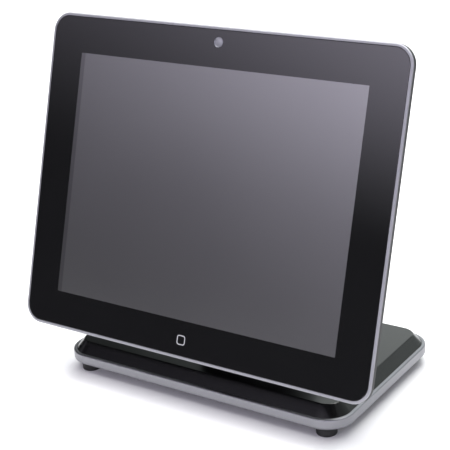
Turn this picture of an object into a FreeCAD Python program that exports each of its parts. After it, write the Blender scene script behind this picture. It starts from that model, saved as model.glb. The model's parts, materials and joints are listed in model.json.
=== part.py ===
"""Countertop touch-screen checkout terminal on a low stand.

The frame: millimetres, +Z up, +X to the right of somebody facing the screen, +Y away from them. Sizes are
worked out with the origin on the counter under the middle of the base; every node is then moved back so that
the origin is under the middle of the whole terminal. The head is modelled upright with its bottom front edge
on the local origin, its front face at y = 0 and its depth along +Y, and is then leaned back and lifted
into place. Every node is one STEP file in parts/.
"""
import FreeCAD, Part
import math
import os

from FreeCAD import Placement, Rotation, Vector

# ---------------------------------------------------------------- driving dimensions

# Head outline and pose
HEAD_WIDTH = 378.0
HEAD_HEIGHT = 300.0
HEAD_CORNER = 18.0
HEAD_LEAN = 18.0            # degrees back from upright, at rest
HEAD_OVERHANG = 11.0        # how far the bottom front edge stands in front of the base
HEAD_LIFT = 52.0            # counter to the head's bottom front edge

# Display
ACTIVE_WIDTH = 304.1        # 15 inch, 4:3 panel
ACTIVE_HEIGHT = 228.1
ACTIVE_BOTTOM = 35.4        # head's bottom edge to the picture
PANEL_MARGIN = 11.0         # metal edge of the panel around the picture
PANEL_DEPTH = 8.2

# Bezel and glass
BEZEL_LIP = 2.7
BEZEL_DEPTH = 5.0
BEZEL_LEDGE = 11.0          # outside edge to the ledge's inner edge
LEDGE_DEPTH = 2.0
GLASS_DEPTH = 2.0
GLASS_GAP = 0.3
ADHESIVE_INSET = 3.2
ADHESIVE_WIDTH = 5.5
GASKET_DEPTH = 0.8
GASKET_WIDTH = 5.0

# Camera
CAMERA_HEIGHT = 286.0       # head's bottom edge to the lens
CAMERA_RING_R = 5.2
CAMERA_LENS_R = 4.4

# Chassis and rear cover
SHEET = 1.5
CHASSIS_INSET = 9.2
CHASSIS_CORNER = 7.5
COVER_INSET = 3.9
COVER_WALL = 2.5
COVER_LIP = 0.8               # how far the cover's straight side passes the chassis
CASE_ROOM = 15.9            # back of the main board to the inside of the cover
BULGE_SIDE = 59.0           # side of the head to the flat of its back
BULGE_UNDER = 22.0          # flat of the back below the top of the port bay
BULGE_OVER = 6.0            # flat of the back above the drive bay
BULGE_FILLET = 7.0
VENT_WIDTH = 2.6
VENT_PITCH = 6.5

# Ports and their bay
BAY_HALF = 85.0
BAY_DROP = 52.0             # hinge axis down to the top of the port bay
BAY_HEIGHT = 46.0
BAY_WALL = 2.0
PORT_HEIGHT = 17.0          # how far a socket's body reaches up the board
PANEL_SHEET = 1.2

# Doors and the pins they turn on
DOOR_DEPTH = 2.0
DOOR_GAP = 0.4
DOOR_PIN_R = 1.0
DOOR_PIN_LENGTH = 3.0
DRIVE_LEFT = -112.0
DRIVE_WIDTH = 90.0
DRIVE_HEIGHT = 70.0
DRIVE_LIFT = 58.0           # hinge axis up to the drive bay
REBATE = 2.0

# Main board and what is on it
BOARD_LIFT = 9.5            # back of the chassis to the front of the main board
BOARD_DEPTH = 1.6
BOARD_HALF = 108.0
BOARD_UNDER = 48.0          # hinge axis down to the board's lower edge
BOARD_OVER = 132.0          # and up to its upper edge

# Power button
BUTTON_X = 98.0
SPEAKER_DROP = 24.0           # lower edge of the cover's flat back down to the speakers' lower edge
SPEAKER_HEIGHT = 20.0
BUTTON_DROP = 26.0          # hinge axis down to the button
BUTTON_R = 6.0
BUTTON_PROUD = 1.2
BUTTON_TRAVEL = 1.0

# Tilt hinge
MOUNT_HEIGHT = 118.0        # head's bottom edge to the hinge axis
MOUNT_SHEET = 3.0
MOUNT_HALF = 48.0
MOUNT_PITCH = 75.0          # square hole pattern of the mounting plate
PIVOT_REACH = 24.0          # mounting plate to the hinge axis
SHAFT_R = 5.0
EAR_DEPTH = 5.0
HEAD_EAR_X = 30.0
HEAD_EAR_R = 11.0
WASHER_DEPTH = 1.0
SPRING_DEPTH = 2.4
NUT_DEPTH = 4.0
BARREL_R = 16.0
KNUCKLE_R = 15.0
BARREL_HALF = 54.0
RUNNING = 0.05              # radial clearance of the shaft in the ears
FIT_GAP = 0.3               # clearance between pieces that don't move on each other

# Base
BASE_WIDTH = 309.0
BASE_DEPTH = 189.0
BASE_CORNER = 26.0
FOOT_HEIGHT = 10.0          # what shows of a foot under the rim
RIM_HEIGHT = 10.5
RIM_WALL = 3.2
RIM_SHOULDER = 1.4          # radius of the rim's upper outer edge
RIM_UNDERCUT = 2.8
RIM_FLANGE = 1.5
RIM_FLOOR = 2.0
PLATE_DEPTH = 3.0
DECK_WALL = 2.5
DECK_RISE = 9.5
DECK_SLOPE = 8.5            # how far the deck's sloped border reaches in
DECK_ROUND = 2.0            # radius of the crest round the deck's flat top
FOOT_R = 9.6
FOOT_INSET_X = 22.0           # base's edge to a foot's middle, across
FOOT_INSET_Y = 16.0           # the same, front to back

# Neck
NECK_WALL = 2.5
NECK_FOOT_FRONT = 8.0
NECK_FOOT_BACK = 73.0
NECK_PLATE = 5.0
WINDOW_HALF = 24.0
WINDOW_LOW = 44.0
WINDOW_HIGH = 76.0
WINDOW_CORNER = 8.0
GROMMET_WALL = 2.5
NECK_SEAT_CUT = 0.2         # depth of the flats the neck screws seat on
NOTCH_GAP = 3.0             # room round the knuckle cover as it turns

# Screws
SCREW_GAP = 0.1

# ---------------------------------------------------------------- values worked out from them

LEAN = math.radians(HEAD_LEAN)
HEAD_FRONT = -BASE_DEPTH / 2 - HEAD_OVERHANG
RIM_LOW = FOOT_HEIGHT
RIM_HIGH = RIM_LOW + RIM_HEIGHT
PLATE_LOW = RIM_LOW + RIM_FLOOR
PLATE_HIGH = PLATE_LOW + PLATE_DEPTH
DECK_HIGH = RIM_HIGH + DECK_RISE
LEDGE_FRONT = BEZEL_DEPTH - LEDGE_DEPTH
PANEL_FRONT = GLASS_DEPTH + GASKET_DEPTH
PANEL_BACK = PANEL_FRONT + PANEL_DEPTH
CHASSIS_BACK = PANEL_BACK + SHEET
BOARD_FRONT = CHASSIS_BACK + BOARD_LIFT
BOARD_BACK = BOARD_FRONT + BOARD_DEPTH
BAY_FRONT = BOARD_BACK + 0.4
ACTIVE_MIDDLE = ACTIVE_BOTTOM + ACTIVE_HEIGHT / 2
COVER_SIDE = CHASSIS_BACK + COVER_LIP
COVER_INSIDE = BOARD_BACK + CASE_ROOM
BAY_HIGH = MOUNT_HEIGHT - BAY_DROP
BAY_LOW = BAY_HIGH - BAY_HEIGHT
DRIVE_BAY = (DRIVE_LEFT, DRIVE_LEFT + DRIVE_WIDTH, MOUNT_HEIGHT + DRIVE_LIFT,
             MOUNT_HEIGHT + DRIVE_LIFT + DRIVE_HEIGHT)
BULGE_HALF = HEAD_WIDTH / 2 - BULGE_SIDE
BULGE_LOW = BAY_HIGH - BULGE_UNDER
SPEAKER_LOW = BULGE_LOW - SPEAKER_DROP
SPEAKER_HIGH = SPEAKER_LOW + SPEAKER_HEIGHT
BULGE_HIGH = DRIVE_BAY[3] + BULGE_OVER
BOARD_LOW = MOUNT_HEIGHT - BOARD_UNDER
BOARD_HIGH = MOUNT_HEIGHT + BOARD_OVER
BUTTON_Z = MOUNT_HEIGHT - BUTTON_DROP
COVER_DEPTH = COVER_INSIDE + COVER_WALL
PLATE_BACK = COVER_DEPTH + MOUNT_SHEET
PIVOT_DEPTH = PLATE_BACK + PIVOT_REACH
HEAD_EAR_OUT = HEAD_EAR_X + EAR_DEPTH
STAND_EAR_X = HEAD_EAR_OUT + WASHER_DEPTH
STAND_EAR_OUT = STAND_EAR_X + NECK_PLATE
SPRING_OUT = STAND_EAR_OUT + SPRING_DEPTH
NUT_OUT = SPRING_OUT + NUT_DEPTH
BIG = 1000.0


def to_world(depth, height):
    """Where a point of the upright head lies in the YZ plane once the head is in place."""
    y = HEAD_FRONT + height * math.sin(LEAN) + depth * math.cos(LEAN)
    z = HEAD_LIFT + height * math.cos(LEAN) - depth * math.sin(LEAN)
    return y, z


PIVOT_Y, PIVOT_Z = to_world(PIVOT_DEPTH, MOUNT_HEIGHT)
ROW_PLACE = Placement(Vector(0, HEAD_OVERHANG / 2, 0), Rotation())
HEAD_PLACE = Placement(Vector(0, HEAD_FRONT, HEAD_LIFT), Rotation(Vector(1, 0, 0), -HEAD_LEAN))

# ---------------------------------------------------------------- shape helpers

AXES = {"x": Vector(1, 0, 0), "y": Vector(0, 1, 0), "z": Vector(0, 0, 1)}


def box(x0, x1, y0, y1, z0, z1):
    """A box between three pairs of coordinates."""
    return Part.makeBox(x1 - x0, y1 - y0, z1 - z0, Vector(x0, y0, z0))


def cylinder(axis, radius, start, end, u, v):
    """A cylinder along an axis from start to end; u and v are the other two coordinates in X, Y, Z order."""
    spot = {"x": Vector(start, u, v), "y": Vector(u, start, v), "z": Vector(u, v, start)}[axis]
    return Part.makeCylinder(radius, end - start, spot, AXES[axis])


def tube(axis, outer, inner, start, end, u, v):
    """A round tube along an axis."""
    return cylinder(axis, outer, start, end, u, v).cut(cylinder(axis, inner, start - 1, end + 1, u, v))


def prism(axis, points, start, end):
    """A closed outline swept along an axis; its points are the other two coordinates in X, Y, Z order."""
    place = {
        "x": lambda a, b: Vector(start, a, b),
        "y": lambda a, b: Vector(a, start, b),
        "z": lambda a, b: Vector(a, b, start),
    }[axis]
    corners = [place(a, b) for a, b in points]
    wire = Part.makePolygon(corners + corners[:1])
    return Part.Face(wire).extrude(AXES[axis] * (end - start))


def rounded(axis, width, height, radius, start, end, u=0.0, v=0.0):
    """A block with four rounded edges along an axis, centred on u, v in the other two coordinates."""
    a, b = width / 2, height / 2
    low, high = start, end
    if axis == "y":
        block = box(u - a, u + a, low, high, v - b, v + b)
    elif axis == "z":
        block = box(u - a, u + a, v - b, v + b, low, high)
    else:
        block = box(low, high, u - a, u + a, v - b, v + b)
    along = [e for e in block.Edges if e.tangentAt(e.FirstParameter).cross(AXES[axis]).Length < 1e-6]
    return block.makeFillet(radius, along)


def ring(axis, width, height, radius, thick, start, end, u=0.0, v=0.0):
    """A rounded rectangular frame, thick millimetres wide all round."""
    inner = rounded(axis, width - 2 * thick, height - 2 * thick, max(radius - thick, 0.5), start - 1, end + 1, u, v)
    return rounded(axis, width, height, radius, start, end, u, v).cut(inner)


def slot(axis, width, length, start, end, u, v, along):
    """A round-ended slot swept along an axis; along is 0 if it is long in the first coordinate, 1 in the second."""
    w, h = (length, width) if along == 0 else (width, length)
    return rounded(axis, w, h, width / 2 - 0.01, start, end, u, v)


def union(shapes):
    """All the shapes as one solid, with merged faces."""
    first, rest = shapes[0], shapes[1:]
    return first.fuse(rest).removeSplitter() if rest else first


def inset(points, distance):
    """A convex outline, given anticlockwise, moved inwards by a distance."""
    lines = []
    for (x0, y0), (x1, y1) in zip(points, points[1:] + points[:1]):
        length = math.hypot(x1 - x0, y1 - y0)
        nx, ny = -(y1 - y0) / length, (x1 - x0) / length
        lines.append((nx, ny, nx * x0 + ny * y0 + distance))
    moved = []
    for (a0, b0, c0), (a1, b1, c1) in zip(lines[-1:] + lines[:-1], lines):
        det = a0 * b1 - a1 * b0
        moved.append(((c0 * b1 - c1 * b0) / det, (a0 * c1 - a1 * c0) / det))
    return moved


def screw(axis, x, y, z, out, head_r, head_depth, shank_r, shank_length):
    """A pan-head screw. x, y, z is the middle of the face its head sits on, and out is +1 or -1, the way
    the head stands out along the axis."""
    at = {"x": x, "y": y, "z": z}[axis]
    u, v = {"x": (y, z), "y": (x, z), "z": (x, y)}[axis]
    head_span = sorted((at, at + out * head_depth))
    shank_span = sorted((at, at - out * shank_length))
    head = cylinder(axis, head_r, *head_span, u, v)
    outer_z = at + out * head_depth
    rim = [e for e in head.Edges if len(e.Vertexes) == 1 and abs(getattr(e.CenterOfMass, axis) - outer_z) < 1e-3]
    head = head.makeFillet(head_depth * 0.35, rim)
    drive_span = sorted((outer_z, outer_z - out * head_depth * 0.5))
    bar, half = head_r * 0.55, head_r * 0.12
    if axis == "y":
        cross = [box(u - bar, u + bar, *drive_span, v - half, v + half),
                 box(u - half, u + half, *drive_span, v - bar, v + bar)]
    elif axis == "z":
        cross = [box(u - bar, u + bar, v - half, v + half, *drive_span),
                 box(u - half, u + half, v - bar, v + bar, *drive_span)]
    else:
        cross = [box(*drive_span, u - bar, u + bar, v - half, v + half),
                 box(*drive_span, u - half, u + half, v - bar, v + bar)]
    return head.cut(cross).fuse(cylinder(axis, shank_r, *shank_span, u, v)).removeSplitter()


def keep(name, *shapes, place=Placement()):
    """Writes one node. Several shapes stay separate solids in one file."""
    solids = []
    for shape in shapes:
        moved = shape.copy()
        moved.Placement = ROW_PLACE.multiply(place).multiply(moved.Placement)
        solids += moved.Solids
    result = solids[0] if len(solids) == 1 else Part.makeCompound(solids)
    result.exportStep(f"parts/{name}.step")


def keep_head(name, *shapes):
    """Writes one node of the head, leaned back into place."""
    keep(name, *shapes, place=HEAD_PLACE)

# ---------------------------------------------------------------- head: front


MIDDLE = HEAD_HEIGHT / 2


def head_block(inset_by, start, end):
    """The head's rounded outline, moved in by a distance, between two depths."""
    return rounded("y", HEAD_WIDTH - 2 * inset_by, HEAD_HEIGHT - 2 * inset_by,
                   HEAD_CORNER - inset_by, start, end, 0.0, MIDDLE)


def make_bezel():
    """Silver frame round the glass, with a ledge behind it."""
    body = head_block(0.0, 0.0, BEZEL_DEPTH)
    front_edges = [e for e in body.Edges if e.BoundBox.YMax < 1e-3]
    body = body.makeFillet(0.9, front_edges)
    glass_pocket = head_block(BEZEL_LIP, -1.0, LEDGE_FRONT)
    opening = rounded("y", HEAD_WIDTH - 2 * BEZEL_LEDGE, HEAD_HEIGHT - 2 * BEZEL_LEDGE,
                      HEAD_CORNER - BEZEL_LEDGE, -1.0, BEZEL_DEPTH + 1.0, 0.0, MIDDLE)
    keep_head("bezel_frame", body.cut([glass_pocket, opening]))


def make_glass():
    """Cover glass with the touch sensor, and the adhesive frame that holds it."""
    glass = head_block(BEZEL_LIP + GLASS_GAP, 0.0, GLASS_DEPTH)
    front_edges = [e for e in glass.Edges if e.BoundBox.YMax < 1e-3]
    glass = glass.makeFillet(0.35, front_edges)
    hole = cylinder("y", CAMERA_RING_R + 0.05, -1.0, GLASS_DEPTH + 1.0, 0.0, CAMERA_HEIGHT)
    keep_head("touch_glass", glass.cut(hole))
    adhesive = ring("y", HEAD_WIDTH - 2 * ADHESIVE_INSET, HEAD_HEIGHT - 2 * ADHESIVE_INSET,
                    HEAD_CORNER - ADHESIVE_INSET, ADHESIVE_WIDTH, GLASS_DEPTH, LEDGE_FRONT, 0.0, MIDDLE)
    keep_head("glass_adhesive", adhesive)


def make_camera():
    """Camera behind the glass: trim ring, window and module."""
    ring_depth = GLASS_DEPTH
    trim = tube("y", CAMERA_RING_R, CAMERA_LENS_R, 0.0, ring_depth, 0.0, CAMERA_HEIGHT)
    keep_head("camera_ring", trim)
    window = cylinder("y", CAMERA_LENS_R - 0.02, 0.3, ring_depth - 0.4, 0.0, CAMERA_HEIGHT)
    keep_head("camera_window", window)
    board = box(-13.0, 13.0, ring_depth, ring_depth + 5.0, CAMERA_HEIGHT - 9.0, HEAD_HEIGHT - BEZEL_LEDGE - FIT_GAP)
    barrel = cylinder("y", 3.2, ring_depth - 0.35, ring_depth, 0.0, CAMERA_HEIGHT)
    keep_head("camera_module", union([board, barrel]))


def make_display():
    """Display panel, the foam round its picture and the brackets that hold it to the chassis."""
    half_w = ACTIVE_WIDTH / 2 + PANEL_MARGIN
    half_h = ACTIVE_HEIGHT / 2 + PANEL_MARGIN
    low, high = ACTIVE_MIDDLE - half_h, ACTIVE_MIDDLE + half_h
    panel = box(-half_w, half_w, PANEL_FRONT, PANEL_BACK, low, high)
    picture = box(-ACTIVE_WIDTH / 2 - 1.0, ACTIVE_WIDTH / 2 + 1.0, PANEL_FRONT - 1.0, PANEL_FRONT + 0.4,
                  ACTIVE_BOTTOM - 1.0, ACTIVE_BOTTOM + ACTIVE_HEIGHT + 1.0)
    keep_head("lcd_panel", panel.cut(picture))
    gasket = ring("y", ACTIVE_WIDTH + 4.0 + 2 * GASKET_WIDTH, ACTIVE_HEIGHT + 4.0 + 2 * GASKET_WIDTH, 6.0,
                  GASKET_WIDTH, GLASS_DEPTH, PANEL_FRONT, 0.0, ACTIVE_MIDDLE)
    keep_head("screen_gasket", gasket)
    brackets = []
    for side in (-1, 1):
        wall = sorted((side * half_w, side * (half_w + 1.2)))
        foot = sorted((side * half_w, side * (half_w + 9.0)))
        upright = box(*wall, PANEL_FRONT + 1.0, PANEL_BACK, ACTIVE_MIDDLE - 80.0, ACTIVE_MIDDLE + 80.0)
        flange = box(*foot, PANEL_BACK - 1.2, PANEL_BACK, ACTIVE_MIDDLE - 80.0, ACTIVE_MIDDLE + 80.0)
        brackets.append(union([upright, flange]))
    keep_head("panel_brackets", *brackets)

# ---------------------------------------------------------------- head: chassis and electronics


MOUNT_SPOTS = [(sx * MOUNT_PITCH / 2, MOUNT_HEIGHT + sz * MOUNT_PITCH / 2) for sx in (-1, 1) for sz in (-1, 1)]
COVER_SPOTS = [(sx * 116.0, z) for sx in (-1, 1) for z in (MOUNT_HEIGHT - 60.0, MOUNT_HEIGHT + 120.0)]
BOARD_SPOTS = [(sx * 102.0, z) for sx in (-1, 1) for z in (MOUNT_HEIGHT - 42.0, MOUNT_HEIGHT + 44.0)]
POST_R = 5.0


def make_chassis():
    """Folded steel tray behind the panel, with four posts that carry the mounting plate."""
    width, height = HEAD_WIDTH - 2 * CHASSIS_INSET, HEAD_HEIGHT - 2 * CHASSIS_INSET
    tray = rounded("y", width, height, CHASSIS_CORNER, BEZEL_DEPTH, CHASSIS_BACK, 0.0, MIDDLE)
    hollow = rounded("y", width - 2 * SHEET, height - 2 * SHEET, CHASSIS_CORNER - SHEET,
                     BEZEL_DEPTH - 1.0, PANEL_BACK, 0.0, MIDDLE)
    holes = [cylinder("y", 1.6, PANEL_BACK - 1.0, CHASSIS_BACK + 1.0, x, z) for x, z in COVER_SPOTS]
    keep_head("chassis", tray.cut([hollow] + holes))
    posts = [tube("y", POST_R, 2.0 + SCREW_GAP, CHASSIS_BACK, COVER_INSIDE, x, z) for x, z in MOUNT_SPOTS]
    keep_head("mount_posts", *posts)


def make_board():
    """Main board on standoffs, its processor, cooler, memory, clock cell and power switch."""
    board = box(-BOARD_HALF, BOARD_HALF, BOARD_FRONT, BOARD_BACK, BOARD_LOW, BOARD_HIGH)
    clear = [cylinder("y", POST_R + 1.0, BOARD_FRONT - 1, BOARD_BACK + 1, x, z) for x, z in MOUNT_SPOTS]
    holes = [cylinder("y", 1.5 + SCREW_GAP, BOARD_FRONT - 1, BOARD_BACK + 1, x, z) for x, z in BOARD_SPOTS]
    keep_head("main_board", board.cut(clear + holes))
    standoffs = [tube("y", 3.0, 1.5 + SCREW_GAP, CHASSIS_BACK, BOARD_FRONT, x, z) for x, z in BOARD_SPOTS]
    keep_head("board_standoffs", *standoffs)
    keep_head("board_screws",
              *[screw("y", x, BOARD_BACK, z, 1, 2.8, 1.8, 1.5, 7.0) for x, z in BOARD_SPOTS])
    chip_depth = 1.4
    sink_low, sink_high = MOUNT_HEIGHT + 50.0, MOUNT_HEIGHT + 128.0
    chip_z = MOUNT_HEIGHT + 87.0
    keep_head("processor", box(33.0, 67.0, BOARD_BACK, BOARD_BACK + chip_depth, chip_z - 17.0, chip_z + 17.0))
    sink_front = BOARD_BACK + chip_depth
    sink_base = box(0.0, 100.0, sink_front, sink_front + 3.0, sink_low, sink_high)
    fins = [box(x, x + 1.6, sink_front + 3.0, COVER_INSIDE - 2.5, sink_low, sink_high)
            for x in [i * 98.4 / 14 for i in range(15)]]
    keep_head("heat_sink", union([sink_base] + fins))
    card_front = BOARD_BACK + 3.8
    card_low = MOUNT_HEIGHT - 6.0
    socket = box(-104.0, -44.0, BOARD_BACK, card_front, card_low, card_low + 8.0)
    card = box(-102.0, -46.0, card_front, card_front + 1.2, card_low + 1.0, card_low + 31.0)
    chips = [box(x, x + 9.0, card_front + 1.2, card_front + 2.2, card_low + 12.0, card_low + 26.0)
             for x in (-98.0, -84.0, -70.0, -56.0)]
    keep_head("memory_socket", socket)
    keep_head("memory_module", union([card] + chips))
    keep_head("clock_cell", cylinder("y", 10.0, BOARD_BACK, BOARD_BACK + 3.2, -80.0, MOUNT_HEIGHT - 24.0))
    switch = box(BUTTON_X - 4.0, BUTTON_X + 4.0, BOARD_BACK, BOARD_BACK + 6.0, BUTTON_Z - 4.0, BUTTON_Z + 4.0)
    keep_head("power_switch", switch)
    light = cylinder("y", 1.5, BOARD_BACK, COVER_DEPTH + 0.2, BUTTON_X, BUTTON_Z + 14.0)
    keep_head("status_light", light)


def make_drive():
    """Solid-state drive on a folded bracket, behind its door."""
    x0, x1, z0, z1 = DRIVE_BAY
    drive_front = COVER_INSIDE - 10.0
    body = box(x0 + 3.0, x1 - 3.0, drive_front, drive_front + 7.0, z0 + 3.0, z1 - 3.0)
    edges = [e for e in body.Edges if e.tangentAt(e.FirstParameter).cross(AXES["y"]).Length < 1e-6]
    keep_head("storage_drive", body.makeFillet(2.0, edges))
    shelf = box(x0 + 2.0, x1 - 2.0, drive_front - 1.2, drive_front, z0 + 4.0, z1 - 4.0)
    legs = [box(x, x + 8.0, BOARD_BACK, drive_front - 1.2, z, z + 8.0)
            for x in (x0 + 8.0, x1 - 16.0) for z in (z0 + 6.0, z1 - 14.0)]
    keep_head("drive_bracket", union([shelf] + legs))


def make_small_electronics():
    """Speakers at the bottom corners and the touch controller above the main board."""
    for name, side in (("speaker_left", -1), ("speaker_right", 1)):
        span = sorted((side * 122.0, side * 164.0))
        case = box(*span, CHASSIS_BACK, CHASSIS_BACK + 5.5, SPEAKER_LOW, SPEAKER_HIGH)
        cone = cylinder("y", 8.0, CHASSIS_BACK + 4.5, CHASSIS_BACK + 6.0, side * 143.0,
                        (SPEAKER_LOW + SPEAKER_HIGH) / 2)
        keep_head(name, case.cut(cone))
    keep_head("touch_controller", box(-30.0, 30.0, CHASSIS_BACK, CHASSIS_BACK + 1.6, HEAD_HEIGHT - 38.0, HEAD_HEIGHT - 20.0))

# ---------------------------------------------------------------- head: ports


def socket_block(x, width, depth, hollow_w, hollow_d, reach, tongue):
    """A socket whose mouth faces down: a block on the board with a hollow, and a tongue in it if it has one."""
    y1 = BOARD_BACK + depth
    block = box(x - width / 2, x + width / 2, BOARD_BACK, y1, BAY_HIGH, BAY_HIGH + PORT_HEIGHT)
    middle = BOARD_BACK + depth / 2
    hollow = box(x - hollow_w / 2, x + hollow_w / 2, middle - hollow_d / 2, middle + hollow_d / 2,
                 BAY_HIGH - 1.0, BAY_HIGH + reach)
    block = block.cut(hollow)
    if tongue:
        blade = box(x - hollow_w / 2 + 0.8, x + hollow_w / 2 - 0.8, middle - tongue / 2, middle + tongue / 2,
                    BAY_HIGH + 1.0, BAY_HIGH + reach)
        block = block.fuse(blade).removeSplitter()
    return block


PORTS = {
    "ethernet_port": [(-53.0, 16.0, CASE_ROOM - 2.5, 12.0, 8.0, 12.0, 0.0)],
    "usb_ports": [(x, 13.2, 6.4, 12.0, 4.6, 12.0, 1.6) for x in (-22.0, -7.5, 7.0, 21.5)],
    "serial_ports": [(x, 14.0, CASE_ROOM - 3.4, 10.4, 7.4, 12.0, 0.0) for x in (52.0, 69.0)],
}
INLET_X = -71.0
INLET_W = 13.0
INLET_D = 11.0


def make_ports():
    """Sockets along the board's lower edge, and the sheet panel round their mouths."""
    panel = box(-BAY_HALF + 5.3, BAY_HALF - 5.3, BAY_FRONT + 0.3, COVER_INSIDE - 0.3,
                BAY_HIGH + 0.4, BAY_HIGH + 0.4 + PANEL_SHEET)
    cuts = []
    for name, sockets in PORTS.items():
        keep_head(name, *[socket_block(*s) for s in sockets])
        for x, width, depth, *_ in sockets:
            cuts.append(box(x - width / 2 - 0.2, x + width / 2 + 0.2, BOARD_BACK - 0.2, BOARD_BACK + depth + 0.2,
                            BAY_HIGH - 1.0, BAY_HIGH + 5.0))
    inlet = box(INLET_X - INLET_W / 2, INLET_X + INLET_W / 2, BOARD_BACK, BOARD_BACK + INLET_D,
                BAY_HIGH, BAY_HIGH + PORT_HEIGHT)
    middle = BOARD_BACK + INLET_D / 2
    bore = cylinder("z", 3.2, BAY_HIGH - 1.0, BAY_HIGH + 11.0, INLET_X, middle)
    pin = cylinder("z", 1.0, BAY_HIGH + 1.0, BAY_HIGH + 11.5, INLET_X, middle)
    keep_head("power_inlet", inlet.cut(bore).fuse(pin).removeSplitter())
    cuts.append(box(INLET_X - INLET_W / 2 - 0.2, INLET_X + INLET_W / 2 + 0.2, BOARD_BACK - 0.2,
                    BOARD_BACK + INLET_D + 0.2, BAY_HIGH - 1.0, BAY_HIGH + 5.0))
    keep_head("port_panel", panel.cut(cuts))

# ---------------------------------------------------------------- head: rear cover and doors


def cover_body(inset_by, front):
    """The rear cover's outer form, or its hollow when inset_by is the wall."""
    low, high = COVER_INSET, HEAD_HEIGHT - COVER_INSET
    side = [(front - inset_by, low), (COVER_SIDE, low), (COVER_DEPTH, BULGE_LOW), (COVER_DEPTH, BULGE_HIGH),
            (COVER_SIDE, high), (front - inset_by, high)]
    half = HEAD_WIDTH / 2 - COVER_INSET
    plan = [(-half, front - inset_by), (half, front - inset_by), (half, COVER_SIDE), (BULGE_HALF, COVER_DEPTH),
            (-BULGE_HALF, COVER_DEPTH), (-half, COVER_SIDE)]
    if inset_by:
        side, plan = inset(side, inset_by), inset(plan, inset_by)
    depth_way = prism("x", side, -BIG / 2, BIG / 2)
    width_way = prism("z", plan, -BIG / 2, BIG / 2)
    outline = head_block(COVER_INSET + inset_by, -BIG / 2, BIG / 2)
    return depth_way.common(width_way).common(outline)


def bulge_edges(shape):
    """The edges round the flat back of the rear cover, and the four mitred edges that run from its corners."""
    found = []
    for e in shape.Edges:
        b = e.BoundBox
        flat_back = b.YMin > COVER_DEPTH - 1e-3
        slanted = b.YMax > COVER_DEPTH - 1e-3 and b.YLength > 10.0
        if flat_back or slanted:
            found.append(e)
    return found


def port_door_span():
    """The port door's x, and lower and upper height."""
    half = BAY_HALF - DOOR_GAP
    return half, BULGE_LOW + DOOR_GAP + 1.0, BAY_HIGH - DOOR_GAP


def make_rear_cover():
    """Moulded rear cover with its port bay, drive bay, vents, sound slots and screw bosses."""
    outer = cover_body(0.0, BEZEL_DEPTH)
    rounded_outer = outer.makeFillet(BULGE_FILLET, bulge_edges(outer))
    shell = rounded_outer.cut(cover_body(COVER_WALL, BEZEL_DEPTH - 2.0))
    bay_walls = box(-BAY_HALF - BAY_WALL, BAY_HALF + BAY_WALL, BAY_FRONT - BAY_WALL, COVER_DEPTH,
                    BAY_LOW - BAY_WALL, BAY_HIGH + BAY_WALL).common(rounded_outer)
    bosses = [cylinder("y", POST_R, CHASSIS_BACK, COVER_INSIDE, x, z) for x, z in COVER_SPOTS]
    x0, x1, z0, z1 = DRIVE_BAY
    rebate_frame = box(x0 - 3.5, x1 + 3.5, COVER_INSIDE - 1.5, COVER_INSIDE, z0 - 3.5, z1 + 3.5)
    body = union([shell, bay_walls, rebate_frame] + bosses)

    cuts = [box(-BAY_HALF, BAY_HALF, BAY_FRONT, BIG, BAY_LOW, BAY_HIGH),
            box(-BAY_HALF + 5.0, BAY_HALF - 5.0, BAY_FRONT, COVER_INSIDE, BAY_HIGH - 1.0, BAY_HIGH + BAY_WALL + 1.0),
            box(-BAY_HALF + 5.0, BAY_HALF - 5.0, 0.0, BAY_FRONT + 1.0, BAY_HIGH, BAY_HIGH + BAY_WALL + 1.0),
            box(x0, x1, COVER_DEPTH - DOOR_DEPTH - 0.2, BIG, z0, z1),
            box(x0 + REBATE, x1 - REBATE, 20.0, BIG, z0 + REBATE, z1 - REBATE),
            box(x0, x1, 2 * drive_pin()[0] - COVER_DEPTH - FIT_GAP, BIG, z0,
                drive_pin()[1] + COVER_DEPTH - drive_pin()[0] + FIT_GAP)]
    for x, z in COVER_SPOTS:
        cuts += [cylinder("y", 1.5 + SCREW_GAP, 0.0, BIG, x, z), cylinder("y", 3.5, COVER_DEPTH - 2.0, BIG, x, z)]
    for x, z in MOUNT_SPOTS:
        cuts.append(cylinder("y", 2.0 + SCREW_GAP, 0.0, BIG, x, z))
    cuts.append(cylinder("y", BUTTON_R + 0.35, 30.0, BIG, BUTTON_X, BUTTON_Z))
    cuts.append(cylinder("y", 1.6, 30.0, BIG, BUTTON_X, BUTTON_Z + 14.0))
    vent_count = 15
    for i in range(vent_count):
        cuts.append(slot("y", VENT_WIDTH, 52.0, BOARD_BACK + 6.0, BIG, 6.0 + i * VENT_PITCH, MOUNT_HEIGHT + 90.0, 1))
    top_vent = (BULGE_HIGH + HEAD_HEIGHT) / 2
    for i in range(-18, 19):
        cuts.append(slot("y", VENT_WIDTH, 17.0, CHASSIS_BACK, BIG, i * VENT_PITCH, top_vent, 1))
    for side in (-1, 1):
        for i in range(6):
            cuts.append(slot("y", VENT_WIDTH, 14.0, CHASSIS_BACK, BIG, side * (127.0 + i * VENT_PITCH),
                             SPEAKER_LOW + 6.0, 1))
    half, _, top = port_door_span()
    cuts.append(cylinder("x", DOOR_PIN_R + RUNNING, -half - DOOR_PIN_LENGTH - 1.0, half + DOOR_PIN_LENGTH + 1.0,
                         *port_pin()))
    cuts.append(cylinder("x", DOOR_PIN_R + RUNNING, x0 - DOOR_PIN_LENGTH, x1 + DOOR_PIN_LENGTH, *drive_pin()))
    keep_head("rear_cover", body.cut(cuts))
    keep_head("cover_screws",
              *[screw("y", x, COVER_DEPTH - 2.0, z, 1, 3.1, 1.7, 1.5, COVER_DEPTH - 2.0 - PANEL_BACK - 0.6)
                for x, z in COVER_SPOTS])


def port_pin():
    """Depth and height of the port door's hinge pins."""
    return COVER_DEPTH - DOOR_PIN_R - 0.9, port_door_span()[2] - 2.0


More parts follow.
